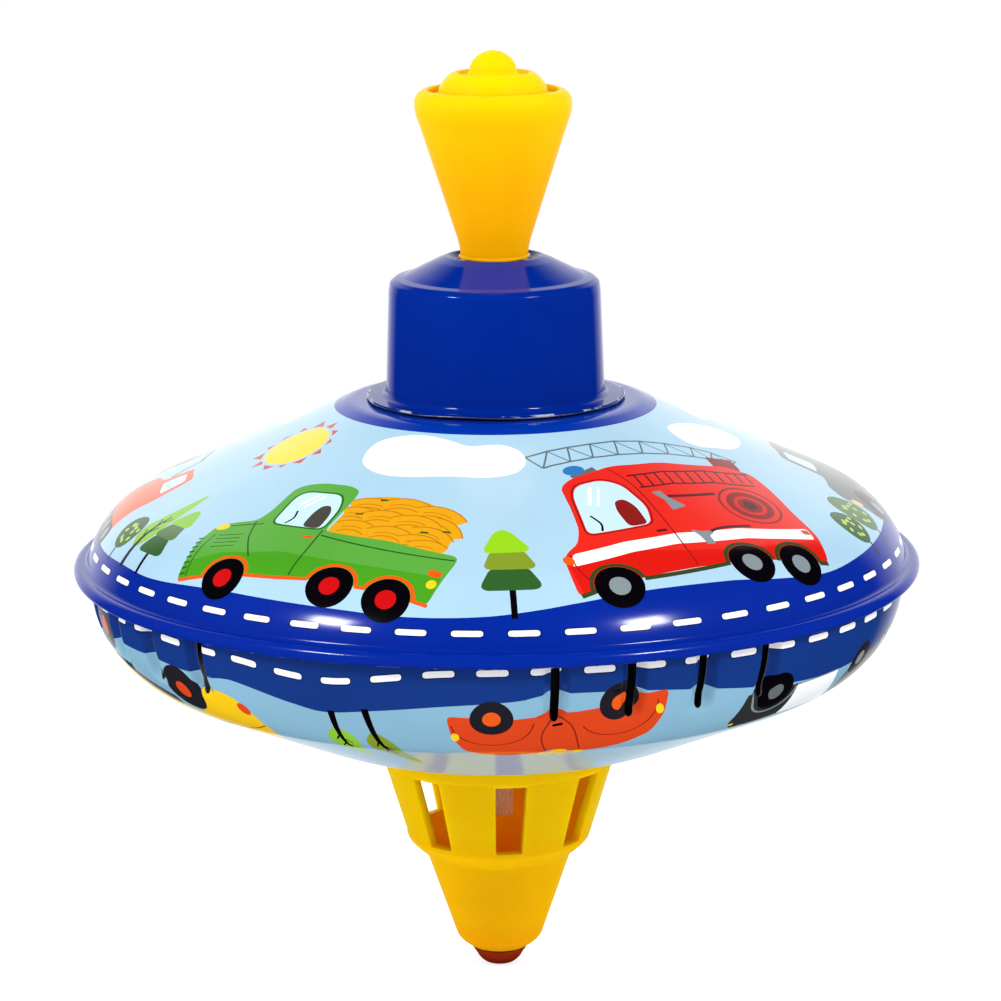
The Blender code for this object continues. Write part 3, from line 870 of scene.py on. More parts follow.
UPPER_ROAD = ((-76, 4.6), (-65, 4.9), (-56, 4.7), (-44, 6.0), (-38, 6.3), (-23, 5.8), (-12, 5.0),
    (-1.6, 5.4), (5.7, 6.7), (11, 7.9), (21, 9.7), (34, 9.4), (42, 7.7), (52, 6.0), (62, 6.6),
    (73, 7.7), (80, 8.5), (92, 9.4), (106, 8.6), (122, 6.4), (140, 5.2), (160, 6.6), (180, 8.8),
    (198, 8.2), (214, 6.2), (232, 5.0), (250, 6.4), (268, 6.2))
LOWER_ROAD = ((-78, 9.0), (-66, 7.2), (-54, 7.0), (-43, 8.0), (-38, 7.3), (-28, 10.8), (-24, 12.0),
    (-17, 10.6), (-7.5, 8.6), (3, 7.1), (6.5, 5.8), (17.6, 6.1), (28, 7.7), (38, 9.9), (51, 11.7),
    (64, 11.0), (78, 8.6), (94, 6.6), (112, 7.0), (130, 9.6), (148, 11.2), (166, 9.4), (184, 7.2),
    (202, 7.6), (220, 10.0), (238, 11.4), (256, 9.8))


def ring(drawing, ink, top, bottom, step=1.5):
    """Band all the way round between two heights v(theta)."""
    n = round(360 / step)
    edge = [SEAM + 360.0 * i / n for i in range(n + 1)]
    points = [(t, drawing.to_path(top(t))) for t in edge]
    points += [(t, drawing.to_path(bottom(t))) for t in edge[::-1]]
    drawing.shapes.append((ink, points))


def dash_row(drawing, count, first, centre, length, height, radius):
    """Broken white line along the road."""
    for i in range(count):
        middle = SEAM + ((first + 360.0 * i / count) - SEAM) % 360
        reach = math.degrees(length / 2 / radius) + 0.3
        if middle - reach < SEAM or middle + reach > SEAM + 360:
            continue
        for ink, grow in (("outline", 0.22), ("white", 0.0)):
            half, tall = length / 2 + grow, height / 2 + grow
            outline = soft([(-half, -tall), (0, -tall), (half, -tall), (half, tall), (0, tall),
                (-half, tall)], 0.8)
            turned = [(middle + math.degrees(x / radius), y) for x, y in outline]
            drawing.shapes.append((ink, [(t, drawing.to_path(centre(t) + y)) for t, y in turned]))


upper = Drawing(0.9135, 104.4, lambda v: UPPER_ZERO - v)
lower = Drawing(0.9173, 111.9, lambda v: LOWER_ZERO + v)

# sky objects first, then road, then what stands on it
upper.at(-66)
for i in range(13):
    a = math.tau * (i + 0.3) / 13
    ca, sa = math.cos(a), math.sin(a)
    tall, half = 10.4 + 0.9 * math.sin(5 * i), 1.5 - 0.35 * math.sin(3 * i)
    upper.put("ray", [
        (0.6 + 8.4 * ca - half * sa, 47.2 + 8.4 * sa + half * ca),
        (0.6 + tall * ca, 47.2 + tall * sa),
        (0.6 + 8.4 * ca + half * sa, 47.2 + 8.4 * sa - half * ca)])
upper.disc("sun", 0.6, 47.2, 7.7, sides=36)
upper.at(-15)
cloud(upper, [(-18, 52.8), (-17.6, 55.4), (-16.4, 57.8), (-14, 59.2), (-11.2, 59.7), (-7.3, 59.9),
    (-3.4, 59.1), (0.7, 57.7), (4.6, 56.3), (8.1, 57.3), (11.3, 58.1), (14.2, 57.6), (16.3, 56.2),
    (17.7, 54), (17.7, 51.3), (16.3, 48.6), (13.3, 46.7), (10, 45.6), (5, 45.2), (0, 44.7),
    (-5, 44.3), (-9.2, 44.6), (-12.7, 45.7), (-15.8, 47.9), (-17.6, 50.4)])
upper.at(70)
cloud(upper, [(-3.2, 54.5), (0.6, 54.5), (4.9, 53.5), (9.8, 51.7), (15, 48.8), (17.4, 45.8),
    (15.6, 42.2), (9.4, 40.5), (3.7, 41), (-0.1, 43.2), (-3.9, 45.4), (-5.6, 48.3), (-5.4, 51.5)])
for theta, x, y in ((112, 0, 50), (150, 2, 52), (196, 0, 49), (-118, 4, 50)):
    upper.at(theta)
    cloud(upper, [(x - 13, y), (x - 11, y + 4), (x - 6, y + 4.6), (x - 1, y + 7.4), (x + 5, y + 5),
        (x + 10, y + 5.2), (x + 13.6, y + 1), (x + 10.6, y - 3), (x + 4, y - 3), (x - 2, y - 4.4),
        (x - 9, y - 3.4)])

ring(upper, "road", lambda t: smooth_round(t, UPPER_ROAD), lambda t: UPPER_ZERO - UPPER.length)
ring(upper, "hub_ring", lambda t: UPPER_ZERO, lambda t: 65.3)
dash_row(upper, 49, -0.15 + 3.6735, lambda t: 1.8, 6.6, 1.25, 91.2)

pine(upper.at(2.2), 0, 0, 1)
truck(upper.at(-28))
fire_engine(upper.at(31))
upper.at(-62)
leaf_tree(upper, -5.4, -0.6, 25.6, 3.5, 1.4, "leaf")
upper.at(-60)
pine(upper, -0.2, -0.6, 0.78, ("pine", "moss", "leaf"))
egg_tree(upper.at(-73), 3.2, 7, 4.6, 4.9, "pine", "spot")
egg_tree(upper.at(78.5), -15.5, 9.6, 4.3, 5.4, "pine", "spot")
egg_tree(upper, -6, 10.6, 5.2, 6.6, "moss", "spot")
# small digger at the far left, grey lorry at the far right
upper.at(-92)
upper.stroke("mid_grey", [(2, 20), (-2, 27), (-11, 29), (-16, 22)], 1.4)
upper.area("mid_grey", [(-19, 23), (-13, 23.4), (-14, 18.6), (-18.6, 18.4)], 1)
upper.area("orange", [(-6, 5), (-6, 16), (2, 18), (4, 26), (14, 26.4), (18, 17), (20, 5)], 1.6)
upper.area("glass", [(5.4, 18.4), (14.6, 18.2), (12.6, 24.4), (6.4, 24.4)], 1)
upper.area("dark_grey", [(-9, 0.6), (-9, 6.2), (21, 6.2), (21, 0.6)], 2.6)
for i in range(5):
    upper.disc("grey", -5.2 + i * 5.6, 3.4, 1.7)
upper.at(95)
upper.area("mid_grey", [(-22, 6), (-23, 17), (-18, 20), (-10, 20), (-8, 30), (4, 31), (24, 30),
    (26, 7)], 1.8)
upper.area("glass", [(-7, 21), (2, 20.8), (1.6, 28.4), (-5.6, 28.2)], 1.2)
upper.stroke("dark_grey", [(4.6, 29.6), (4.8, 8)], 0.5)
for x in (9.5, 15, 20.5):
    upper.stroke("dark_grey", [(x, 28.6), (x, 12)], 0.4)
upper.stroke("sill", [(-22, 8.4), (25.4, 8.6)], 1.2)
for x in (-14, 8, 19):
    upper.put("dark_grey", arch(x, 6.6, 6.4, 5.4))
    wheel(upper, x, 6.6, 5, 2.1, "grey")
upper.disc("lamp", -21.6, 13.4, 1.1, 1.6)
bus(upper.at(150), "sun", "orange", "hub_red")
tractor(upper.at(-124), "blue", "outline", "sun")
leaf_tree(upper.at(180), 0, -0.4, 24, 3.4, 0.8, "leaf")
pine(upper.at(186), 0, -0.8, 0.86)
egg_tree(upper.at(122), 0, 10.2, 4.8, 6, "moss", "spot")
egg_tree(upper.at(204), 0, 9.6, 4.6, 5.6, "pine", "spot")
pine(upper.at(-106), 0, -0.8, 0.9, ("pine", "moss", "pine"))

# lower shell picture, upside down below the rim
ring(lower, "low_road", lambda t: -LOWER_ZERO, lambda t: smooth_round(t, LOWER_ROAD))
leaf_tree(lower.at(-24), 1.9, 6.4, 26, 3.4, -0.8, "leaf")
leaf_tree(lower.at(-17), -1.4, 5.2, 35, 3.2, 3.2, "olive")
# open yellow car, mostly round the side
lower.at(-45)
lower.area("dark_grey", [(-40, 14.6), (-13, 13.4), (-13, 17.6), (-40, 17.8)], 1.2)
lower.area("yellow", [(-45, 16.8), (-43.6, 23.6), (-32, 28), (-12, 29.4), (4, 28.8), (11.6, 24.8),
    (13.8, 17.6), (12.8, 11.4), (10.2, 7.6), (5.2, 5.9), (-0.6, 7.2), (-4, 12), (-6, 16.9),
    (-14, 16.8)], 1.6)
lower.area("glass", [(-16.6, 20.6), (-8.4, 20.2), (-8.6, 25.2), (-12.6, 25.4)], 1)
lower.area("seat", [(-5.8, 20.2), (-1, 19.9), (-2.4, 24.6), (-5.4, 24.8)], 1)
lower.stroke("orange", [(-7, 25.6), (-7, 18.6)], 0.4)
lower.trace("car_line", [(13.2, 16.6), (6, 19.6), (-1, 19.2)], 0.35)
wheel(lower, -7.1, 8.9, 6.4, 2.3, "car", "tyre")
wheel(lower, -42.5, 9.2, 5.8, 2.3, "car", "tyre")
lower.disc("mid_grey", 3.4, 6.3, 1)
lower.disc("car", 11.2, 10.8, 1.5, 1.9, tilt=-20)
small_car(lower.at(-3), "car", "car_line", "orange")
for x, y, r in ((13.6, 24.6, 1.5), (16.6, 22.8, 1.9), (20.2, 24.8, 1.6), (17.4, 26.8, 1.4)):
    lower.disc("yellow", x, y, r)
# dark van behind a plain white panel
lower.at(42)
lower.area("dark_grey", [(-9.2, 7), (-9.2, 16.4), (-6.6, 19.8), (2.1, 18.6), (8, 17.4), (8, 7),
    (-4.6, 6.8)], 0.8)
lower.area("white", [(6.2, 7.2), (21.4, 9), (22.8, 20), (6.2, 17.6)], 0.5)
lower.stroke("grey", [(6.2, 7.2), (21.4, 9)], 0.35)
lower.stroke("grey", bow(-0.6, 7.4, 6.4, range(0, 181, 12)), 0.6)
wheel(lower, -0.6, 7.6, 5, 2.1, "mid_grey", "black")
lower.disc("lamp", -7.6, 17.6, 0.7)
lower.at(64)
lower.area("mid_grey", [(-6.6, 6), (-8.4, 12.6), (-7.4, 19.4), (16, 20.8), (18.6, 12), (16.6, 6.4)],
    1.4)
wheel(lower, -3.4, 6.4, 4.2, 1.8, "grey", "tyre")
wheel(lower, 11.6, 6.8, 4.2, 1.8, "grey", "tyre")
leaf_tree(lower.at(82), 0, 6, 26, 3.4, 0.8, "leaf")
leaf_tree(lower.at(88), 0, 6, 33, 3.6, -0.8, "olive")
small_car(lower.at(102), "green", "line", "hub_red")
egg_tree(lower.at(138), 0, 16, 4, 5.4, "moss", "spot")
leaf_tree(lower.at(146), 0, 6.6, 30, 3.6, 0.8, "olive")
small_car(lower.at(158), "blue", "outline", "sun")
leaf_tree(lower.at(202), 0, 6, 28, 3.6, 0.6, "leaf")
small_car(lower.at(-110, -1), "car", "car_line", "orange")
leaf_tree(lower.at(-78), 0, 6, 30, 3.6, -0.6, "leaf")
egg_tree(lower.at(-84), 0, 15, 4, 5.4, "moss", "spot")

LOWER_DASH = ((-78, 1.4), (-66, 1.0), (-52, 1.2), (-43, 1.6), (-36, 2.1), (-29, 3.4), (-22, 4.0),
    (-15, 2.6), (-8, 1.2), (0, 0.8), (13, 0.7), (34, 0.9), (48, 1.4), (62, 1.6), (80, 1.4),
    (98, 1.0), (116, 1.6), (134, 3.0), (152, 3.4), (170, 1.8), (188, 1.0), (206, 1.4), (224, 2.8),
    (242, 3.2), (262, 1.8))
dash_row(lower, 52, -0.6, lambda t: smooth_round(t, LOWER_DASH), 6.6, 1.4, 91.4)


# ---------------------------------------------------------------- materials
def new_material(name):
    mat = bpy.data.materials.new(name)
    mat.use_nodes = True
    nt = mat.node_tree
    nt.nodes.clear()
    out = nt.nodes.new("ShaderNodeOutputMaterial")
    shader = nt.nodes.new("ShaderNodeBsdfPrincipled")
    nt.links.new(shader.outputs["BSDF"], out.inputs["Surface"])
    return mat, nt, shader


def noise(nt, scale, detail=2.0, stretch=(1, 1, 1)):
    coord = nt.nodes.new("ShaderNodeTexCoord")
    mapping = nt.nodes.new("ShaderNodeMapping")
    mapping.inputs["Scale"].default_value = stretch
    tex = nt.nodes.new("ShaderNodeTexNoise")
    tex.inputs["Scale"].default_value = scale
    tex.inputs["Detail"].default_value = detail
    nt.links.new(coord.outputs["Object"], mapping.inputs["Vector"])
    nt.links.new(mapping.outputs["Vector"], tex.inputs["Vector"])
    return tex.outputs["Fac"]


def axes(nt, output):
    """X, Y and Z of the position on the piece or of the direction into the world."""
    coord = nt.nodes.new("ShaderNodeTexCoord")
    split = nt.nodes.new("ShaderNodeSeparateXYZ")
    nt.links.new(coord.outputs[output], split.inputs[0])
    return split.outputs


def calc(nt, operation, *values):
    """Math node on numbers and on other nodes' outputs."""
    node = nt.nodes.new("ShaderNodeMath")
    node.operation = operation
    for socket, value in zip(node.inputs, values):
        if isinstance(value, float):
            socket.default_value = value
        else:
            nt.links.new(value, socket)
    return node.outputs[0]


def ramp(nt, value, low, high, stops, interpolation="LINEAR"):
    """Colour through (value in mm, colour) stops between low and high."""
    node = nt.nodes.new("ShaderNodeValToRGB")
    node.color_ramp.interpolation = interpolation
    cells = node.color_ramp.elements
    while len(cells) < len(stops):
        cells.new(0.5)
    for cell, (place, colour) in zip(cells, stops):
        cell.position = (place - low) / (high - low)
        cell.color = (*colour, 1.0)
    nt.links.new(remap(nt, value, low * MM, high * MM, 0.0, 1.0), node.inputs["Fac"])
    return node.outputs["Color"]


def remap(nt, value, a, b, c, d):
    """Value from a..b to c..d, kept inside."""
    node = nt.nodes.new("ShaderNodeMapRange")
    for key, v in (("From Min", a), ("From Max", b), ("To Min", c), ("To Max", d)):
        node.inputs[key].default_value = v
    nt.links.new(value, node.inputs["Value"])
    return node.outputs["Result"]


def tint(nt, colour, value):
    """Colour times a value."""
    node = nt.nodes.new("ShaderNodeVectorMath")
    node.operation = "SCALE"
    if isinstance(colour, tuple):
        node.inputs[0].default_value = colour[:3]
    else:
        nt.links.new(colour, node.inputs[0])
    nt.links.new(value, node.inputs["Scale"])
    return node.outputs["Vector"]


def bump(nt, shader, height, distance, strength=1.0):
    node = nt.nodes.new("ShaderNodeBump")
    node.inputs["Distance"].default_value = distance
    node.inputs["Strength"].default_value = strength
    nt.links.new(height, node.inputs["Height"])
    nt.links.new(node.outputs["Normal"], shader.inputs["Normal"])


def graded(*stops):
    """Colour that changes up the spin axis, through (height in mm, colour) stops."""
    def build(nt):
        return ramp(nt, axes(nt, "Object")["Z"], stops[0][0], stops[-1][0], stops, "EASE")
    return build


SPECK_GREY = srgb(196, 200, 206)
SPECK_RADII = ((8.3, 0.0), (8.8, 0.8), (9.1, 0.8), (9.5, 0.0), (28.1, 0.0), (28.5, 1.0))


def grey_speck_rings(nt):
    """Light grey specks in a ring round the hole and along the flange's edge."""
    coord = nt.nodes.new("ShaderNodeTexCoord")
    flat = nt.nodes.new("ShaderNodeMapping")
    flat.inputs["Scale"].default_value = (1, 1, 0)
    radius = nt.nodes.new("ShaderNodeVectorMath")
    radius.operation = "LENGTH"
    nt.links.new(coord.outputs["Object"], flat.inputs["Vector"])
    nt.links.new(flat.outputs["Vector"], radius.inputs[0])
    rings = ramp(nt, radius.outputs["Value"], 0.0, 30.0, [(r, (level,) * 3) for r, level in SPECK_RADII])
    chips = remap(nt, noise(nt, 230.0, 2.0), 0.55, 0.6, 0.0, 1.0)
    return calc(nt, "MULTIPLY", rings, chips)


def finish_shader(name, colour, rough, metallic=0.0, coat=0.0, coat_rough=0.05, scatter=None,
        grain=900.0, grain_depth=0.00002, vary=0.04, stretch=(1, 1, 1), patch=60.0,
        specular=0.5, specks=None):
    """Procedural finish: patchy colour, patchy roughness, fine surface relief."""
    mat, nt, shader = new_material(name)
    if callable(colour):
        colour = colour(nt)
    if specks:
        mix = nt.nodes.new("ShaderNodeMix")
        mix.data_type = "RGBA"
        mix.inputs["A"].default_value = (*colour, 1.0)
        mix.inputs["B"].default_value = (*SPECK_GREY, 1.0)
        nt.links.new(specks(nt), mix.inputs["Factor"])
        colour = mix.outputs["Result"]
    patches = noise(nt, patch, 3.0, stretch)
    patches = remap(nt, patches, 0.3, 0.7, 1 - vary, 1 + vary)
    nt.links.new(tint(nt, colour, patches), shader.inputs["Base Color"])
    fine = noise(nt, grain, 2.0, stretch)
    nt.links.new(remap(nt, fine, 0.3, 0.7, rough * 0.8, rough * 1.25), shader.inputs["Roughness"])
    bump(nt, shader, fine, grain_depth)
    shader.inputs["Metallic"].default_value = metallic
    shader.inputs["Coat Weight"].default_value = coat
    shader.inputs["Coat Roughness"].default_value = coat_rough
    shader.inputs["IOR"].default_value = 1.5
    shader.inputs["Specular IOR Level"].default_value = specular
    if scatter:
        shader.inputs["Subsurface Weight"].default_value = scatter[0]
        shader.inputs["Subsurface Scale"].default_value = scatter[1]
        shader.inputs["Subsurface Radius"].default_value = (1.0, 0.45, 0.08)
    return mat


# lithographed tin: ink under clear lacquer
printed_tin, nt, shader = new_material("printed_tin")
ink = nt.nodes.new("ShaderNodeAttribute")
ink.attribute_name = "ink"
clouding = remap(nt, noise(nt, 45.0, 3.0), 0.3, 0.7, 0.97, 1.03)
nt.links.new(tint(nt, ink.outputs["Color"], clouding), shader.inputs["Base Color"])
peel = noise(nt, 420.0, 2.0)
nt.links.new(remap(nt, peel, 0.3, 0.7, 0.26, 0.36), shader.inputs["Roughness"])
bump(nt, shader, peel, 0.00001, 0.6)
shader.inputs["Metallic"].default_value = 0.0
shader.inputs["Coat Weight"].default_value = 0.8
shader.inputs["Coat Roughness"].default_value = 0.14
shader.inputs["Specular IOR Level"].default_value = 0.0

blue_tin = finish_shader("blue_enamel", srgb(0, 38, 140), 0.34, coat=0.65, coat_rough=0.09,
    grain=520.0, grain_depth=0.00001, vary=0.05, specular=0.0, specks=grey_speck_rings)
# Painted light: the knob's yellow is painted paler and more lemon towards its top, where light from
# above falls, and more orange lower down.
yellow = finish_shader("yellow_knob_painted_light", graded((164.0, srgb(250, 176, 0)),
    (178.0, srgb(255, 176, 0)), (194.0, srgb(255, 192, 0)), (206.0, srgb(255, 212, 0))), 0.36,
    scatter=(0.2, 0.003), grain=1400.0, grain_depth=0.000008, vary=0.03, specular=0.03)
# Painted shade: the foot's yellow is painted darker and more orange towards its bottom, near the
# floor.
yellow_foot = finish_shader("yellow_foot_painted_shade", graded((4.0, srgb(214, 142, 0)),
    (14.0, srgb(232, 162, 0)), (31.0, srgb(250, 174, 0)), (38.0, srgb(255, 182, 0)),
    (54.0, srgb(255, 184, 0))), 0.4, scatter=(0.75, 0.011), grain=1200.0, grain_depth=0.00001,
    vary=0.04, specular=0.03)
# Painted shade: the tip is painted a dark red-brown, darkest at its point, for the shade under the
# top near the floor.
tip_painted_shade = finish_shader("tip_plastic_with_painted_shade", graded(
    (0.0, srgb(94, 18, 0)), (4.0, srgb(130, 34, 0))), 0.42, scatter=(0.2, 0.002), grain=1500.0,
    grain_depth=0.000012, vary=0.06, specular=0.03)
white_plastic = finish_shader("white_plastic_look", srgb(236, 236, 228), 0.4, scatter=(0.15, 0.002),
                              grain=1500.0, vary=0.03)
steel = finish_shader("bright_steel", (0.9, 0.89, 0.86), 0.26, metallic=0.55, grain=2600.0,
    grain_depth=0.000006, vary=0.08, stretch=(1, 1, 0.12), patch=300.0)
plain_steel = finish_shader("plated_steel", (0.56, 0.56, 0.55), 0.34, metallic=1.0, grain=1500.0,
                            grain_depth=0.00001, vary=0.12, patch=200.0)
brass = finish_shader("turned_brass", (0.74, 0.53, 0.22), 0.3, metallic=1.0, grain=1800.0,
    grain_depth=0.00001, vary=0.1, patch=220.0)

# ---------------------------------------------------------------- shells
COLUMNS = 144
SLIT_GROUPS = (23.2, 120.0, 203.2, 300.0)
SLIT_PITCH = 10.4
SLIT_HALF = 0.95
SLIT_RADIUS = 90.8
GROOVE_WIDE = 3.2
GROOVE_DEEP = 1.9
SLIT_ANGLES = []
for centre in SLIT_GROUPS:
    for k in range(4):
        a = centre + (k - 1.5) * SLIT_PITCH
        SLIT_ANGLES.append(a - 360.0 if a > SEAM + 360.0 else a)


def smooth(u):
    """Soft step from 0 to 1."""
    return 3 * u ** 2 - 2 * u ** 3


def groove(theta, s):
    """How far the lower shell is pressed in round each slit."""
    theta, s = np.asarray(theta, float), np.asarray(s, float)
    v = s - LOWER_ZERO
    top = np.clip((v + 1.15) / 1.0, 0, 1)
    low = np.clip((14.4 - v) / 3.6, 0, 1)
    fade = smooth(top) * smooth(low)
    depth = np.zeros(np.broadcast(theta, s).shape)
    radius = np.interp(v, [0, 8, 16, 24, 28], [91.5, 90.2, 86.2, 80.4, 77.1])
    for a in SLIT_ANGLES:
        gap = np.abs((theta - a + 180) % 360 - 180) * np.pi / 180 * radius
        u = np.clip((gap / GROOVE_WIDE - 0.26) / 0.74, 0, 1)
        depth = np.maximum(depth, GROOVE_DEEP * (1 - 3 * u ** 2 + 2 * u ** 3))
    return depth * fade


slit_holes, slit_points = [], []
turn = 180 / math.pi / SLIT_RADIUS      # degrees for each millimetre round the rim
for a in SLIT_ANGLES:
    hole = [(a - SLIT_HALF * turn, LOWER_ZERO + 0.5), (a + SLIT_HALF * turn, LOWER_ZERO + 0.5)]
    for q in map(math.radians, range(0, 181, 20)):
        hole.append((a + SLIT_HALF * turn * math.cos(q), LOWER_ZERO + 12.2 + 1.1 * math.sin(q)))
    slit_holes.append(hole)
    for x in [side * (1.3 + 0.3 * k) for k in range(8) for side in (-1, 1)]:
        for v in np.arange(-1.2, 15.2, 0.8):
            slit_points.append((a + x * turn, LOWER_ZERO + float(v)))
    for x in (-0.6, 0.0, 0.6):
        for v in (-1.1, -0.8, -0.4, 0.0, 13.8, 14.2, 14.6):
            slit_points.append((a + x * turn, LOWER_ZERO + v))


def wrap(name, path, drawing, holes, arc_degrees, thick, base, **more):
    return skin(name, printed_tin, path, SEAM, COLUMNS, path.rows(4.0, arc_degrees),
                drawing.shapes, holes, thick, base, "bare", **more)


upper_skin = wrap("upper_shell_skin", UPPER, upper, [], 10, 0.35, "sky")
# the lower shell's sky is painted darker than the upper one's: painted shade on the underside
lower_skin = wrap("lower_shell_skin", LOWER, lower, slit_holes, 5, 0.3, "low_sky_painted_shade", sink=groove,
    extra=slit_points)
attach(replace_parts(upper_skin, "upper_shell"), "top_body")
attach(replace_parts(lower_skin, "lower_shell"), "top_body")

# ---------------------------------------------------------------- collar
collar_path = rounded([(5.6, 163.4, 0), (8.7, 163.45, 0.8), (10.5, 164.65, 1.0), (13.2, 163.55, 8),
    (18.5, 160.85, 8), (20.2, 159.95, 1.4), (22.1, 159.6, 1.1), (23.3, 158.7, 0.9),
    (23.6, 156.9, 1.8), (24.35, 136.4, 6.0), (24.5, 133.5, 1.3), (28.7, 133.3, 0)])


def pressed_edge(verts):
    """The foot flange isn't quite flat."""
    angle = np.arctan2(verts[:, 1], verts[:, 0])
    radius = np.hypot(verts[:, 0], verts[:, 1])
    amount = np.clip((radius - 25.6) / 3.0, 0, 1)
    lift = 0.16 + 0.10 * np.sin(3 * angle + 0.6) + 0.07 * np.sin(7 * angle + 2.0)
    out = verts.copy()
    flange = verts[:, 2] < 136
    out[flange, 2] += (amount * lift)[flange]
    grow = 1 + amount * (0.0045 * np.sin(5 * angle + 1.0) + 0.0035 * np.sin(11 * angle)) * flange
    out[:, 0] *= grow
    out[:, 1] *= grow
    return out


collar = lathe("collar_pressing", blue_tin, collar_path, 120, 1.6, 12, bend=pressed_edge, thick=0.6)
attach(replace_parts(collar, "collar_cap"), "top_body")
cut_edge = lathe("collar_cut_edge", plain_steel, rounded([(28.7, 132.7, 0), (28.9, 132.7, 0.08),
    (28.9, 133.0, 0.08), (28.7, 133.0, 0), (28.7, 132.7, 0)]), 120, 1.0, 45, bend=pressed_edge)
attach(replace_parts(cut_edge, "collar_cap"), "top_body")


def slab(name, material, parts_of, phi):
    """Small moulded or bent piece made of blocks (r0, r1, z0, z1, width), softened at its edges."""
    bm = bmesh.new()
    a = math.radians(phi)
    for r0, r1, z0, z1, width in parts_of:
        made = bmesh.ops.create_cube(bm, size=1.0)
        for v in made["verts"]:
            r = r0 + (v.co.x + 0.5) * (r1 - r0)
            t = v.co.y * width
            z = z0 + (v.co.z + 0.5) * (z1 - z0)
            v.co = ((r * math.sin(a) + t * math.cos(a)) * MM,
                (-r * math.cos(a) + t * math.sin(a)) * MM, z * MM)
    bmesh.ops.bevel(bm, geom=bm.edges[:], offset=0.12 * MM, segments=2, profile=0.5, affect="EDGES")
    mesh = bpy.data.meshes.new(name)
    bm.to_mesh(mesh)
    bm.free()
    mesh.materials.append(material)
    return add_object(name, mesh)


for i, phi in enumerate((45.0, 135.0, 225.0, 315.0)):
    lug = slab("collar_lug_%d" % (i + 1), blue_tin,
               [(25.6, 26.2, 130.8, 133.0, 6.0), (26.0, 28.8, 130.8, 131.4, 6.0)], phi)
    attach(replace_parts(lug, "collar_cap"), "top_body")

# ---------------------------------------------------------------- foot and tip
foot_out = rounded([(19.0, 54.14, 0), (28.0, 54.14, 0.2), (28.2, 53.84, 0.2), (26.8, 49.6, 0.5),
    (26.4, 49.3, 0.3), (20.95, 31.6, 1.0), (20.7, 30.8, 1.0), (20.1, 30.0, 2.0), (18.6, 28.6, 4),
    (17.2, 27.5, 2.0), (16.5, 26.8, 1.2), (16.0, 25.5, 3.0), (10.05, 8.2, 4), (9.65, 7.1, 4),
    (8.9, 6.1, 4), (7.9, 5.3, 4), (6.9, 4.6, 2), (6.5, 4.3, 0.5), (3.4, 4.3, 0)])
foot_in = rounded([(19.0, 53.24, 0), (25.8, 53.24, 0.3), (24.5, 49.4, 2.0), (18.9, 31.8, 1.6),
    (17.9, 30.6, 2), (15.3, 28.6, 2.0), (14.0, 26.2, 4.0), (8.2, 9.4, 2), (7.2, 7.8, 0.8),
    (3.4, 7.8, 0)])


def nearest(path, point):
    s = np.linspace(0, path.length, 4000)
    row = path.at(s)
    return float(s[np.argmin(np.hypot(row[:, 0] - point[0], row[:, 1] - point[1]))])


pairs = (((19.0, 54.14), (19.0, 53.24)), ((27.7, 54.14), (25.5, 53.24)),
    ((28.1, 53.5), (25.7, 52.9)), ((26.5, 49.4), (24.5, 49.4)), ((20.95, 31.6), (18.9, 31.8)),
    ((20.1, 30.0), (17.9, 30.6)), ((17.2, 27.5), (15.3, 28.6)), ((16.0, 25.5), (14.0, 26.2)),
    ((10.05, 8.2), (8.2, 9.4)), ((7.9, 5.3), (7.2, 7.8)), ((3.4, 4.3), (3.4, 7.8)))
foot_marks = [nearest(foot_out, a) for a, b in pairs]
foot_marks_in = [nearest(foot_in, b) for a, b in pairs]


def foot_wall(s):
    return foot_in.at(np.interp(s, foot_marks, foot_marks_in))


WINDOWS = 8
FIRST_WINDOW = 6.4
window_holes = []
low_s, high_s = nearest(foot_out, (21.05, 31.9)), nearest(foot_out, (26.35, 49.0))
low_half, high_half = math.degrees(3.05 / 21.0), math.degrees(3.65 / 26.3)
for i in range(WINDOWS):
    a = FIRST_WINDOW + i * 360.0 / WINDOWS
    a = a - 360.0 if a > SEAM + 355.0 else a
    window_holes.append(soft([(a - high_half, high_s), (a, high_s), (a + high_half, high_s),
        (a + low_half, low_s), (a, low_s), (a - low_half, low_s)], 0.7, 4))
foot = skin("foot_moulding", yellow_foot, foot_out, -150.0, 96, foot_out.rows(2.0, 12), [],
    window_holes, foot_wall, "yellow", "yellow", scale=0.42, detail=1.0)
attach(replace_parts(foot, "foot"), "top_body")
for i, phi in enumerate((28.5, 118.5, 208.5, 298.5)):
    hook = slab("foot_hook_%d" % (i + 1), yellow_foot,
                [(20.0, 21.6, 53.64, 57.24, 6.0), (20.2, 22.9, 55.54, 56.94, 5.6)], phi)
    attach(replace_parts(hook, "foot"), "top_body")

tip = lathe("tip_moulding", tip_painted_shade, rounded([(0.0, 9.8, 0), (2.7, 9.8, 0.5), (3.7, 8.9, 0.3),
    (3.7, 8.1, 0.2), (3.0, 8.1, 0.2), (3.0, 4.0, 0.2), (6.2, 4.0, 0.2), (6.1, 3.6, 0.5),
    (5.4, 2.6, 3), (4.9, 1.7, 3), (4.2, 0.9, 3), (3.4, 0.3, 2), (2.5, 0.0, 1.5), (0.0, 0.0, 0)]),
    64, 1.5, 15)
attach(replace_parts(tip, "tip_plug"), "top_body")

# ---------------------------------------------------------------- knob
def moulding_flash(verts):
    """Thin uneven flash left round the knob's lower end."""
    angle = np.arctan2(verts[:, 1], verts[:, 0])
    radius = np.hypot(verts[:, 0], verts[:, 1])
    low = (verts[:, 2] < 164.62) & (radius > 7.3)
    grow = 1.012 + 0.016 * np.sin(4 * angle + 0.8) + 0.012 * np.sin(9 * angle)
    out = verts.copy()
    out[low, 0] *= grow[low]
    out[low, 1] *= grow[low]
    return out


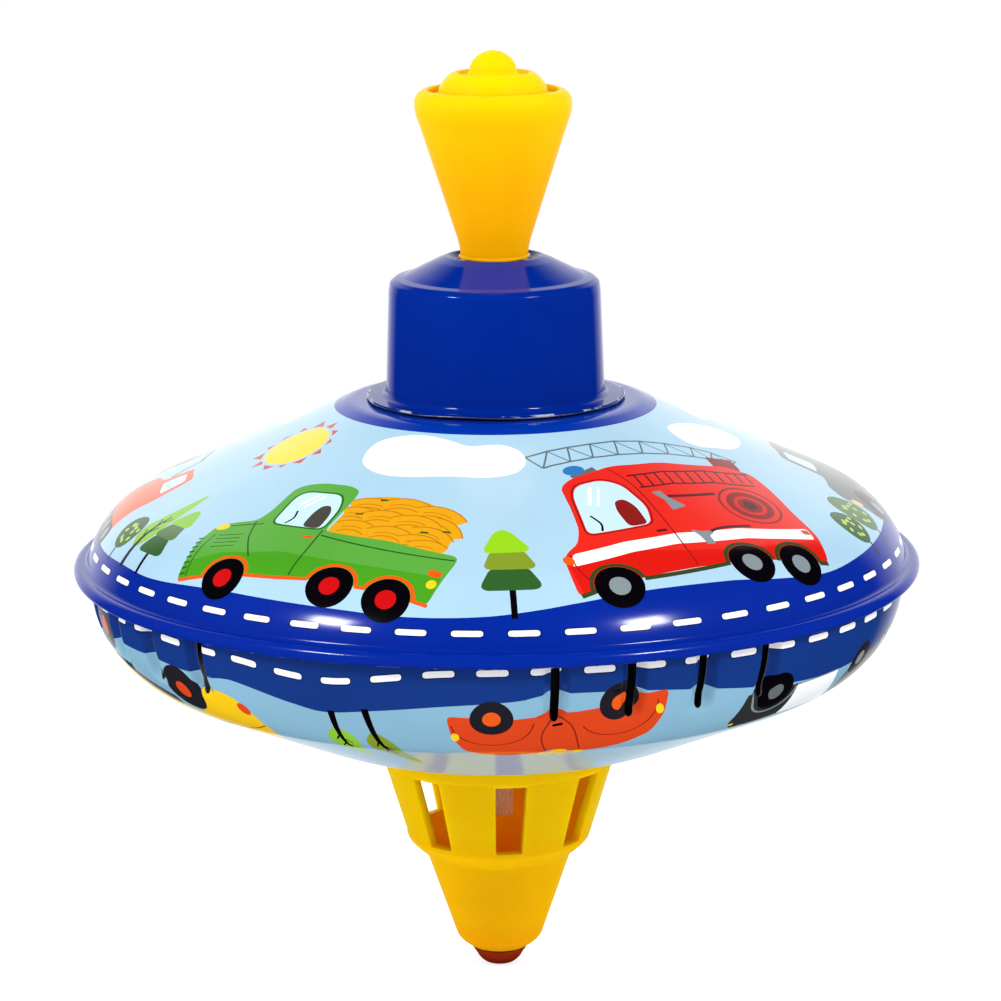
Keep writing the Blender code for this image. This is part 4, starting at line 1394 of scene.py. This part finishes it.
knob = lathe("knob_moulding", yellow, rounded([(0.0, 188.4, 0), (5.4, 188.4, 0.3),
    (6.0, 187.8, 0.3), (6.0, 171.5, 0.3), (7.4, 171.5, 0.3), (9.5, 178.0, 20), (12.9, 188.4, 20),
    (14.2, 192.6, 10), (14.9, 195.6, 4), (15.0, 198.1, 1), (14.5, 198.9, 0.3), (14.5, 201.2, 0.2),
    (14.9, 201.5, 0.4), (15.9, 201.15, 1.6), (16.8, 200.4, 1.6), (17.3, 199.6, 1.6),
    (17.5, 198.5, 3), (17.35, 196.9, 6), (16.95, 195.3, 8), (16.5, 194.1, 20), (15.4, 190.8, 40),
    (11.8, 179.7, 60), (8.25, 168.6, 20), (7.75, 166.6, 8), (7.5, 164.75, 0.3), (7.75, 164.5, 0.1),
    (7.75, 164.1, 0.1), (6.75, 164.1, 0.1), (6.75, 164.6, 0.1), (3.6, 164.6, 0.2), (3.6, 186.2, 0),
    (0.0, 186.2, 0)]), 96, 2.0, 12, bend=moulding_flash)
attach(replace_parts(knob, "knob_shell"), "handle")
cap = lathe("cap_moulding", yellow, rounded([(0.0, 210.0, 0), (2.1, 209.6, 6), (3.5, 208.7, 3),
    (4.5, 207.7, 2), (5.1, 206.6, 3), (5.25, 205.4, 1.5), (5.6, 204.5, 0.8), (6.3, 204.2, 0.8),
    (7.5, 204.3, 1.0), (8.0, 204.9, 0.8), (8.6, 205.2, 0.8), (9.2, 205.0, 1.5), (10.3, 204.1, 4),
    (11.3, 202.9, 3), (11.9, 201.7, 2), (12.1, 200.7, 0.8), (12.6, 200.2, 0.5), (14.1, 200.2, 0.2),
    (14.2, 200.0, 0.1), (14.2, 199.3, 0.2), (12.0, 199.3, 0.3), (11.4, 200.8, 1), (10.5, 202.2, 2),
    (9.2, 203.4, 1), (8.6, 203.6, 1), (7.8, 203.0, 1), (5.0, 202.9, 0.6), (4.1, 203.8, 0.8),
    (3.8, 206.4, 1), (2.9, 207.7, 1), (0.0, 208.4, 0)]), 96, 2.0, 10)
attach(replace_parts(cap, "knob_cap"), "handle")

bush = lathe("guide_bush_moulding", white_plastic, rounded([(3.6, 158.4, 0), (3.6, 164.3, 0.3),
    (6.4, 164.3, 0.25), (6.6, 164.1, 0.2), (6.6, 163.7, 0.1), (5.1, 163.7, 0.1), (5.1, 162.5, 0.1),
    (6.1, 162.5, 0.2), (5.3, 159.0, 0.4), (4.9, 158.4, 0.2), (3.6, 158.4, 0)]), 64, 1.5, 20)
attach(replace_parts(bush, "guide_bush"), "neck_bush")


# ---------------------------------------------------------------- spiral rod
TWIST_LOW, TWIST_HIGH = 52.0, 168.0
PITCH = 40.0
ROD_TURN = math.radians(12.0)


def spiral_rod():
    """Flat strip with rounded edges, plain at both ends and twisted between."""
    half, thick, corner = 3.2, 0.6, 0.35
    outline, out_normal = [], []
    for cx, cy, first in ((half - corner, thick - corner, 0), (-half + corner, thick - corner, 90),
            (-half + corner, -thick + corner, 180), (half - corner, -thick + corner, 270)):
        for k in range(5):
            a = math.radians(first + k * 22.5)
            outline.append((cx + corner * math.cos(a), cy + corner * math.sin(a)))
            out_normal.append((math.cos(a), math.sin(a)))
    levels = [34.9, 35.1, 40.0, 46.0, 51.0] + [TWIST_LOW + i * 0.5
        for i in range(233)] + [172.0, 178.0, 184.3, 184.5]
    pts, nor = np.array(outline), np.array(out_normal)
    n = len(pts)
    verts, normals = [], []
    for z in levels:
        a = ROD_TURN + math.tau * (min(max(z, TWIST_LOW), TWIST_HIGH) - TWIST_LOW) / PITCH
        rate = math.tau / PITCH if TWIST_LOW < z < TWIST_HIGH else 0.0
        c, s = math.cos(a), math.sin(a)
        squeeze = 0.2 if z in (levels[0], levels[-1]) else 0.0
        grow = np.array([(half - squeeze) / half, (thick - squeeze) / thick])
        (x, y), (nx, ny) = ((p[:, 0] * c - p[:, 1] * s, p[:, 0] * s + p[:, 1] * c)
            for p in (pts * grow, nor))
        nz = -rate * (-y * nx + x * ny)
        verts += [(float(x[i]), float(y[i]), z) for i in range(n)]
        normals += [(float(nx[i]), float(ny[i]), float(nz[i])) for i in range(n)]
    faces, loops = [], []
    for k in range(len(levels) - 1):
        for i in range(n):
            j = (i + 1) % n
            quad = (k * n + i, k * n + j, (k + 1) * n + j, (k + 1) * n + i)
            faces.append(quad)
            loops += [normals[q] for q in quad]
    faces.append(tuple(range(n))[::-1])
    loops += [(0, 0, -1)] * n
    top = (len(levels) - 1) * n
    faces.append(tuple(range(top, top + n)))
    loops += [(0, 0, 1)] * n
    return finish_mesh("spiral_rod", verts, faces, loops, steel)


rod = spiral_rod()
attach(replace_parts(rod, "twisted_rod"), "handle")

# ---------------------------------------------------------------- parts kept from the CAD
KEPT = (
    (plain_steel, ("clutch_cage", "driver_disc", "guide_tube")),
    (plain_steel, ["cage_rivet_%d" % i for i in (1, 2, 3, 4)]),
    (brass, ("clutch_seat",)), (white_plastic, ("lower_bush",)), (steel, ("stop_pin", "knob_pin")))
for look, nodes in KEPT:
    for node in nodes:
        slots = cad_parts[node].data.materials
        for i in range(len(slots)):
            slots[i] = look

# ---------------------------------------------------------------- studio
FILL = (0.64, 1.0)          # from below, from above
SIDE_FILL = (0.58, 2.4)     # from the middle, from the sides
SIDE_SHIFT = 0.05
BACKDROP, ROOM = 1.4, 0.012
world = bpy.data.worlds.new("studio")
scene.world = world
world.use_nodes = True
nt = world.node_tree
nt.nodes.clear()
out = nt.nodes.new("ShaderNodeOutputWorld")
plain = nt.nodes.new("ShaderNodeBackground")
fill = nt.nodes.new("ShaderNodeBackground")
mirrored = nt.nodes.new("ShaderNodeBackground")
for shade in (plain, fill, mirrored):
    shade.inputs["Color"].default_value = (1, 1, 1, 1)
towards = axes(nt, "Generated")
# soft fill light, brighter from above and from the two sides
sideways = calc(nt, "POWER", calc(nt, "SUBTRACT", towards["X"], SIDE_SHIFT), 2.0)
sides = remap(nt, sideways, 0.0, 1.2, *SIDE_FILL)
heights = remap(nt, towards["Z"], -0.05, 1.0, *FILL)
nt.links.new(calc(nt, "MULTIPLY", sides, heights), fill.inputs["Strength"])
# what glossy surfaces see: a white backdrop behind, a dark room elsewhere
below = calc(nt, "MINIMUM", towards["Z"], 0.0)
behind = calc(nt, "MULTIPLY_ADD", below, 0.35, towards["Y"])
nt.links.new(remap(nt, behind, 0.62, 0.88, ROOM, BACKDROP), mirrored.inputs["Strength"])
rays = nt.nodes.new("ShaderNodeLightPath")
seen = fill
for ray, other in (("Is Glossy Ray", mirrored), ("Is Camera Ray", plain)):
    choice = nt.nodes.new("ShaderNodeMixShader")
    sources = (rays.outputs[ray], seen.outputs[0], other.outputs[0])
    for source, socket in zip(sources, choice.inputs):
        nt.links.new(source, socket)
    seen = choice
nt.links.new(seen.outputs[0], out.inputs["Surface"])
world.cycles.sampling_method = "NONE"

SOFTBOX_AWAY = 1.2
SOFTBOX_RADIANCE = 50
AIM = Vector((0, 0, 95.0 * MM))


def softbox(name, azimuth, elevation, width, height):
    data = bpy.data.lights.new(name, "AREA")
    data.shape = "RECTANGLE"
    data.size, data.size_y = width, height
    data.energy = SOFTBOX_RADIANCE * math.pi * width * height
    lamp = add_object(name, data)
    a, e = math.radians(azimuth), math.radians(elevation)
    away = Vector((math.sin(a) * math.cos(e), -math.cos(a) * math.cos(e), math.sin(e)))
    lamp.location = AIM + away * SOFTBOX_AWAY
    lamp.rotation_euler = away.to_track_quat("Z", "Y").to_euler()
    lamp.visible_camera = False


softbox("softbox_left", -50.3, 35.1, 0.20, 0.14)
softbox("softbox_right", 44.5, 34.9, 0.20, 0.16)

floor_mesh = bpy.data.meshes.new("floor")
FLOOR_SIDES = 128
FLOOR_RADIUS = 0.62
angles = [math.tau * i / FLOOR_SIDES for i in range(FLOOR_SIDES)]
floor_mesh.from_pydata([(FLOOR_RADIUS * math.cos(a), FLOOR_RADIUS * math.sin(a), 0.0)
    for a in angles], [], [tuple(range(FLOOR_SIDES))])
floor = add_object("floor", floor_mesh)
floor.visible_glossy = False
floor_look = finish_shader("floor_paper", (0.5, 0.5, 0.5), 0.6, grain=400.0, vary=0.01, patch=8.0,
                           grain_depth=0.00001)
glow = next(n for n in floor_look.node_tree.nodes if n.type == "BSDF_PRINCIPLED")
glow.inputs["Emission Color"].default_value = (1, 1, 1, 1)
glow.inputs["Emission Strength"].default_value = 0.68
floor_mesh.materials.append(floor_look)

scene.view_settings.view_transform = "Standard"
scene.view_settings.look = "None"

bpy.context.view_layer.update()
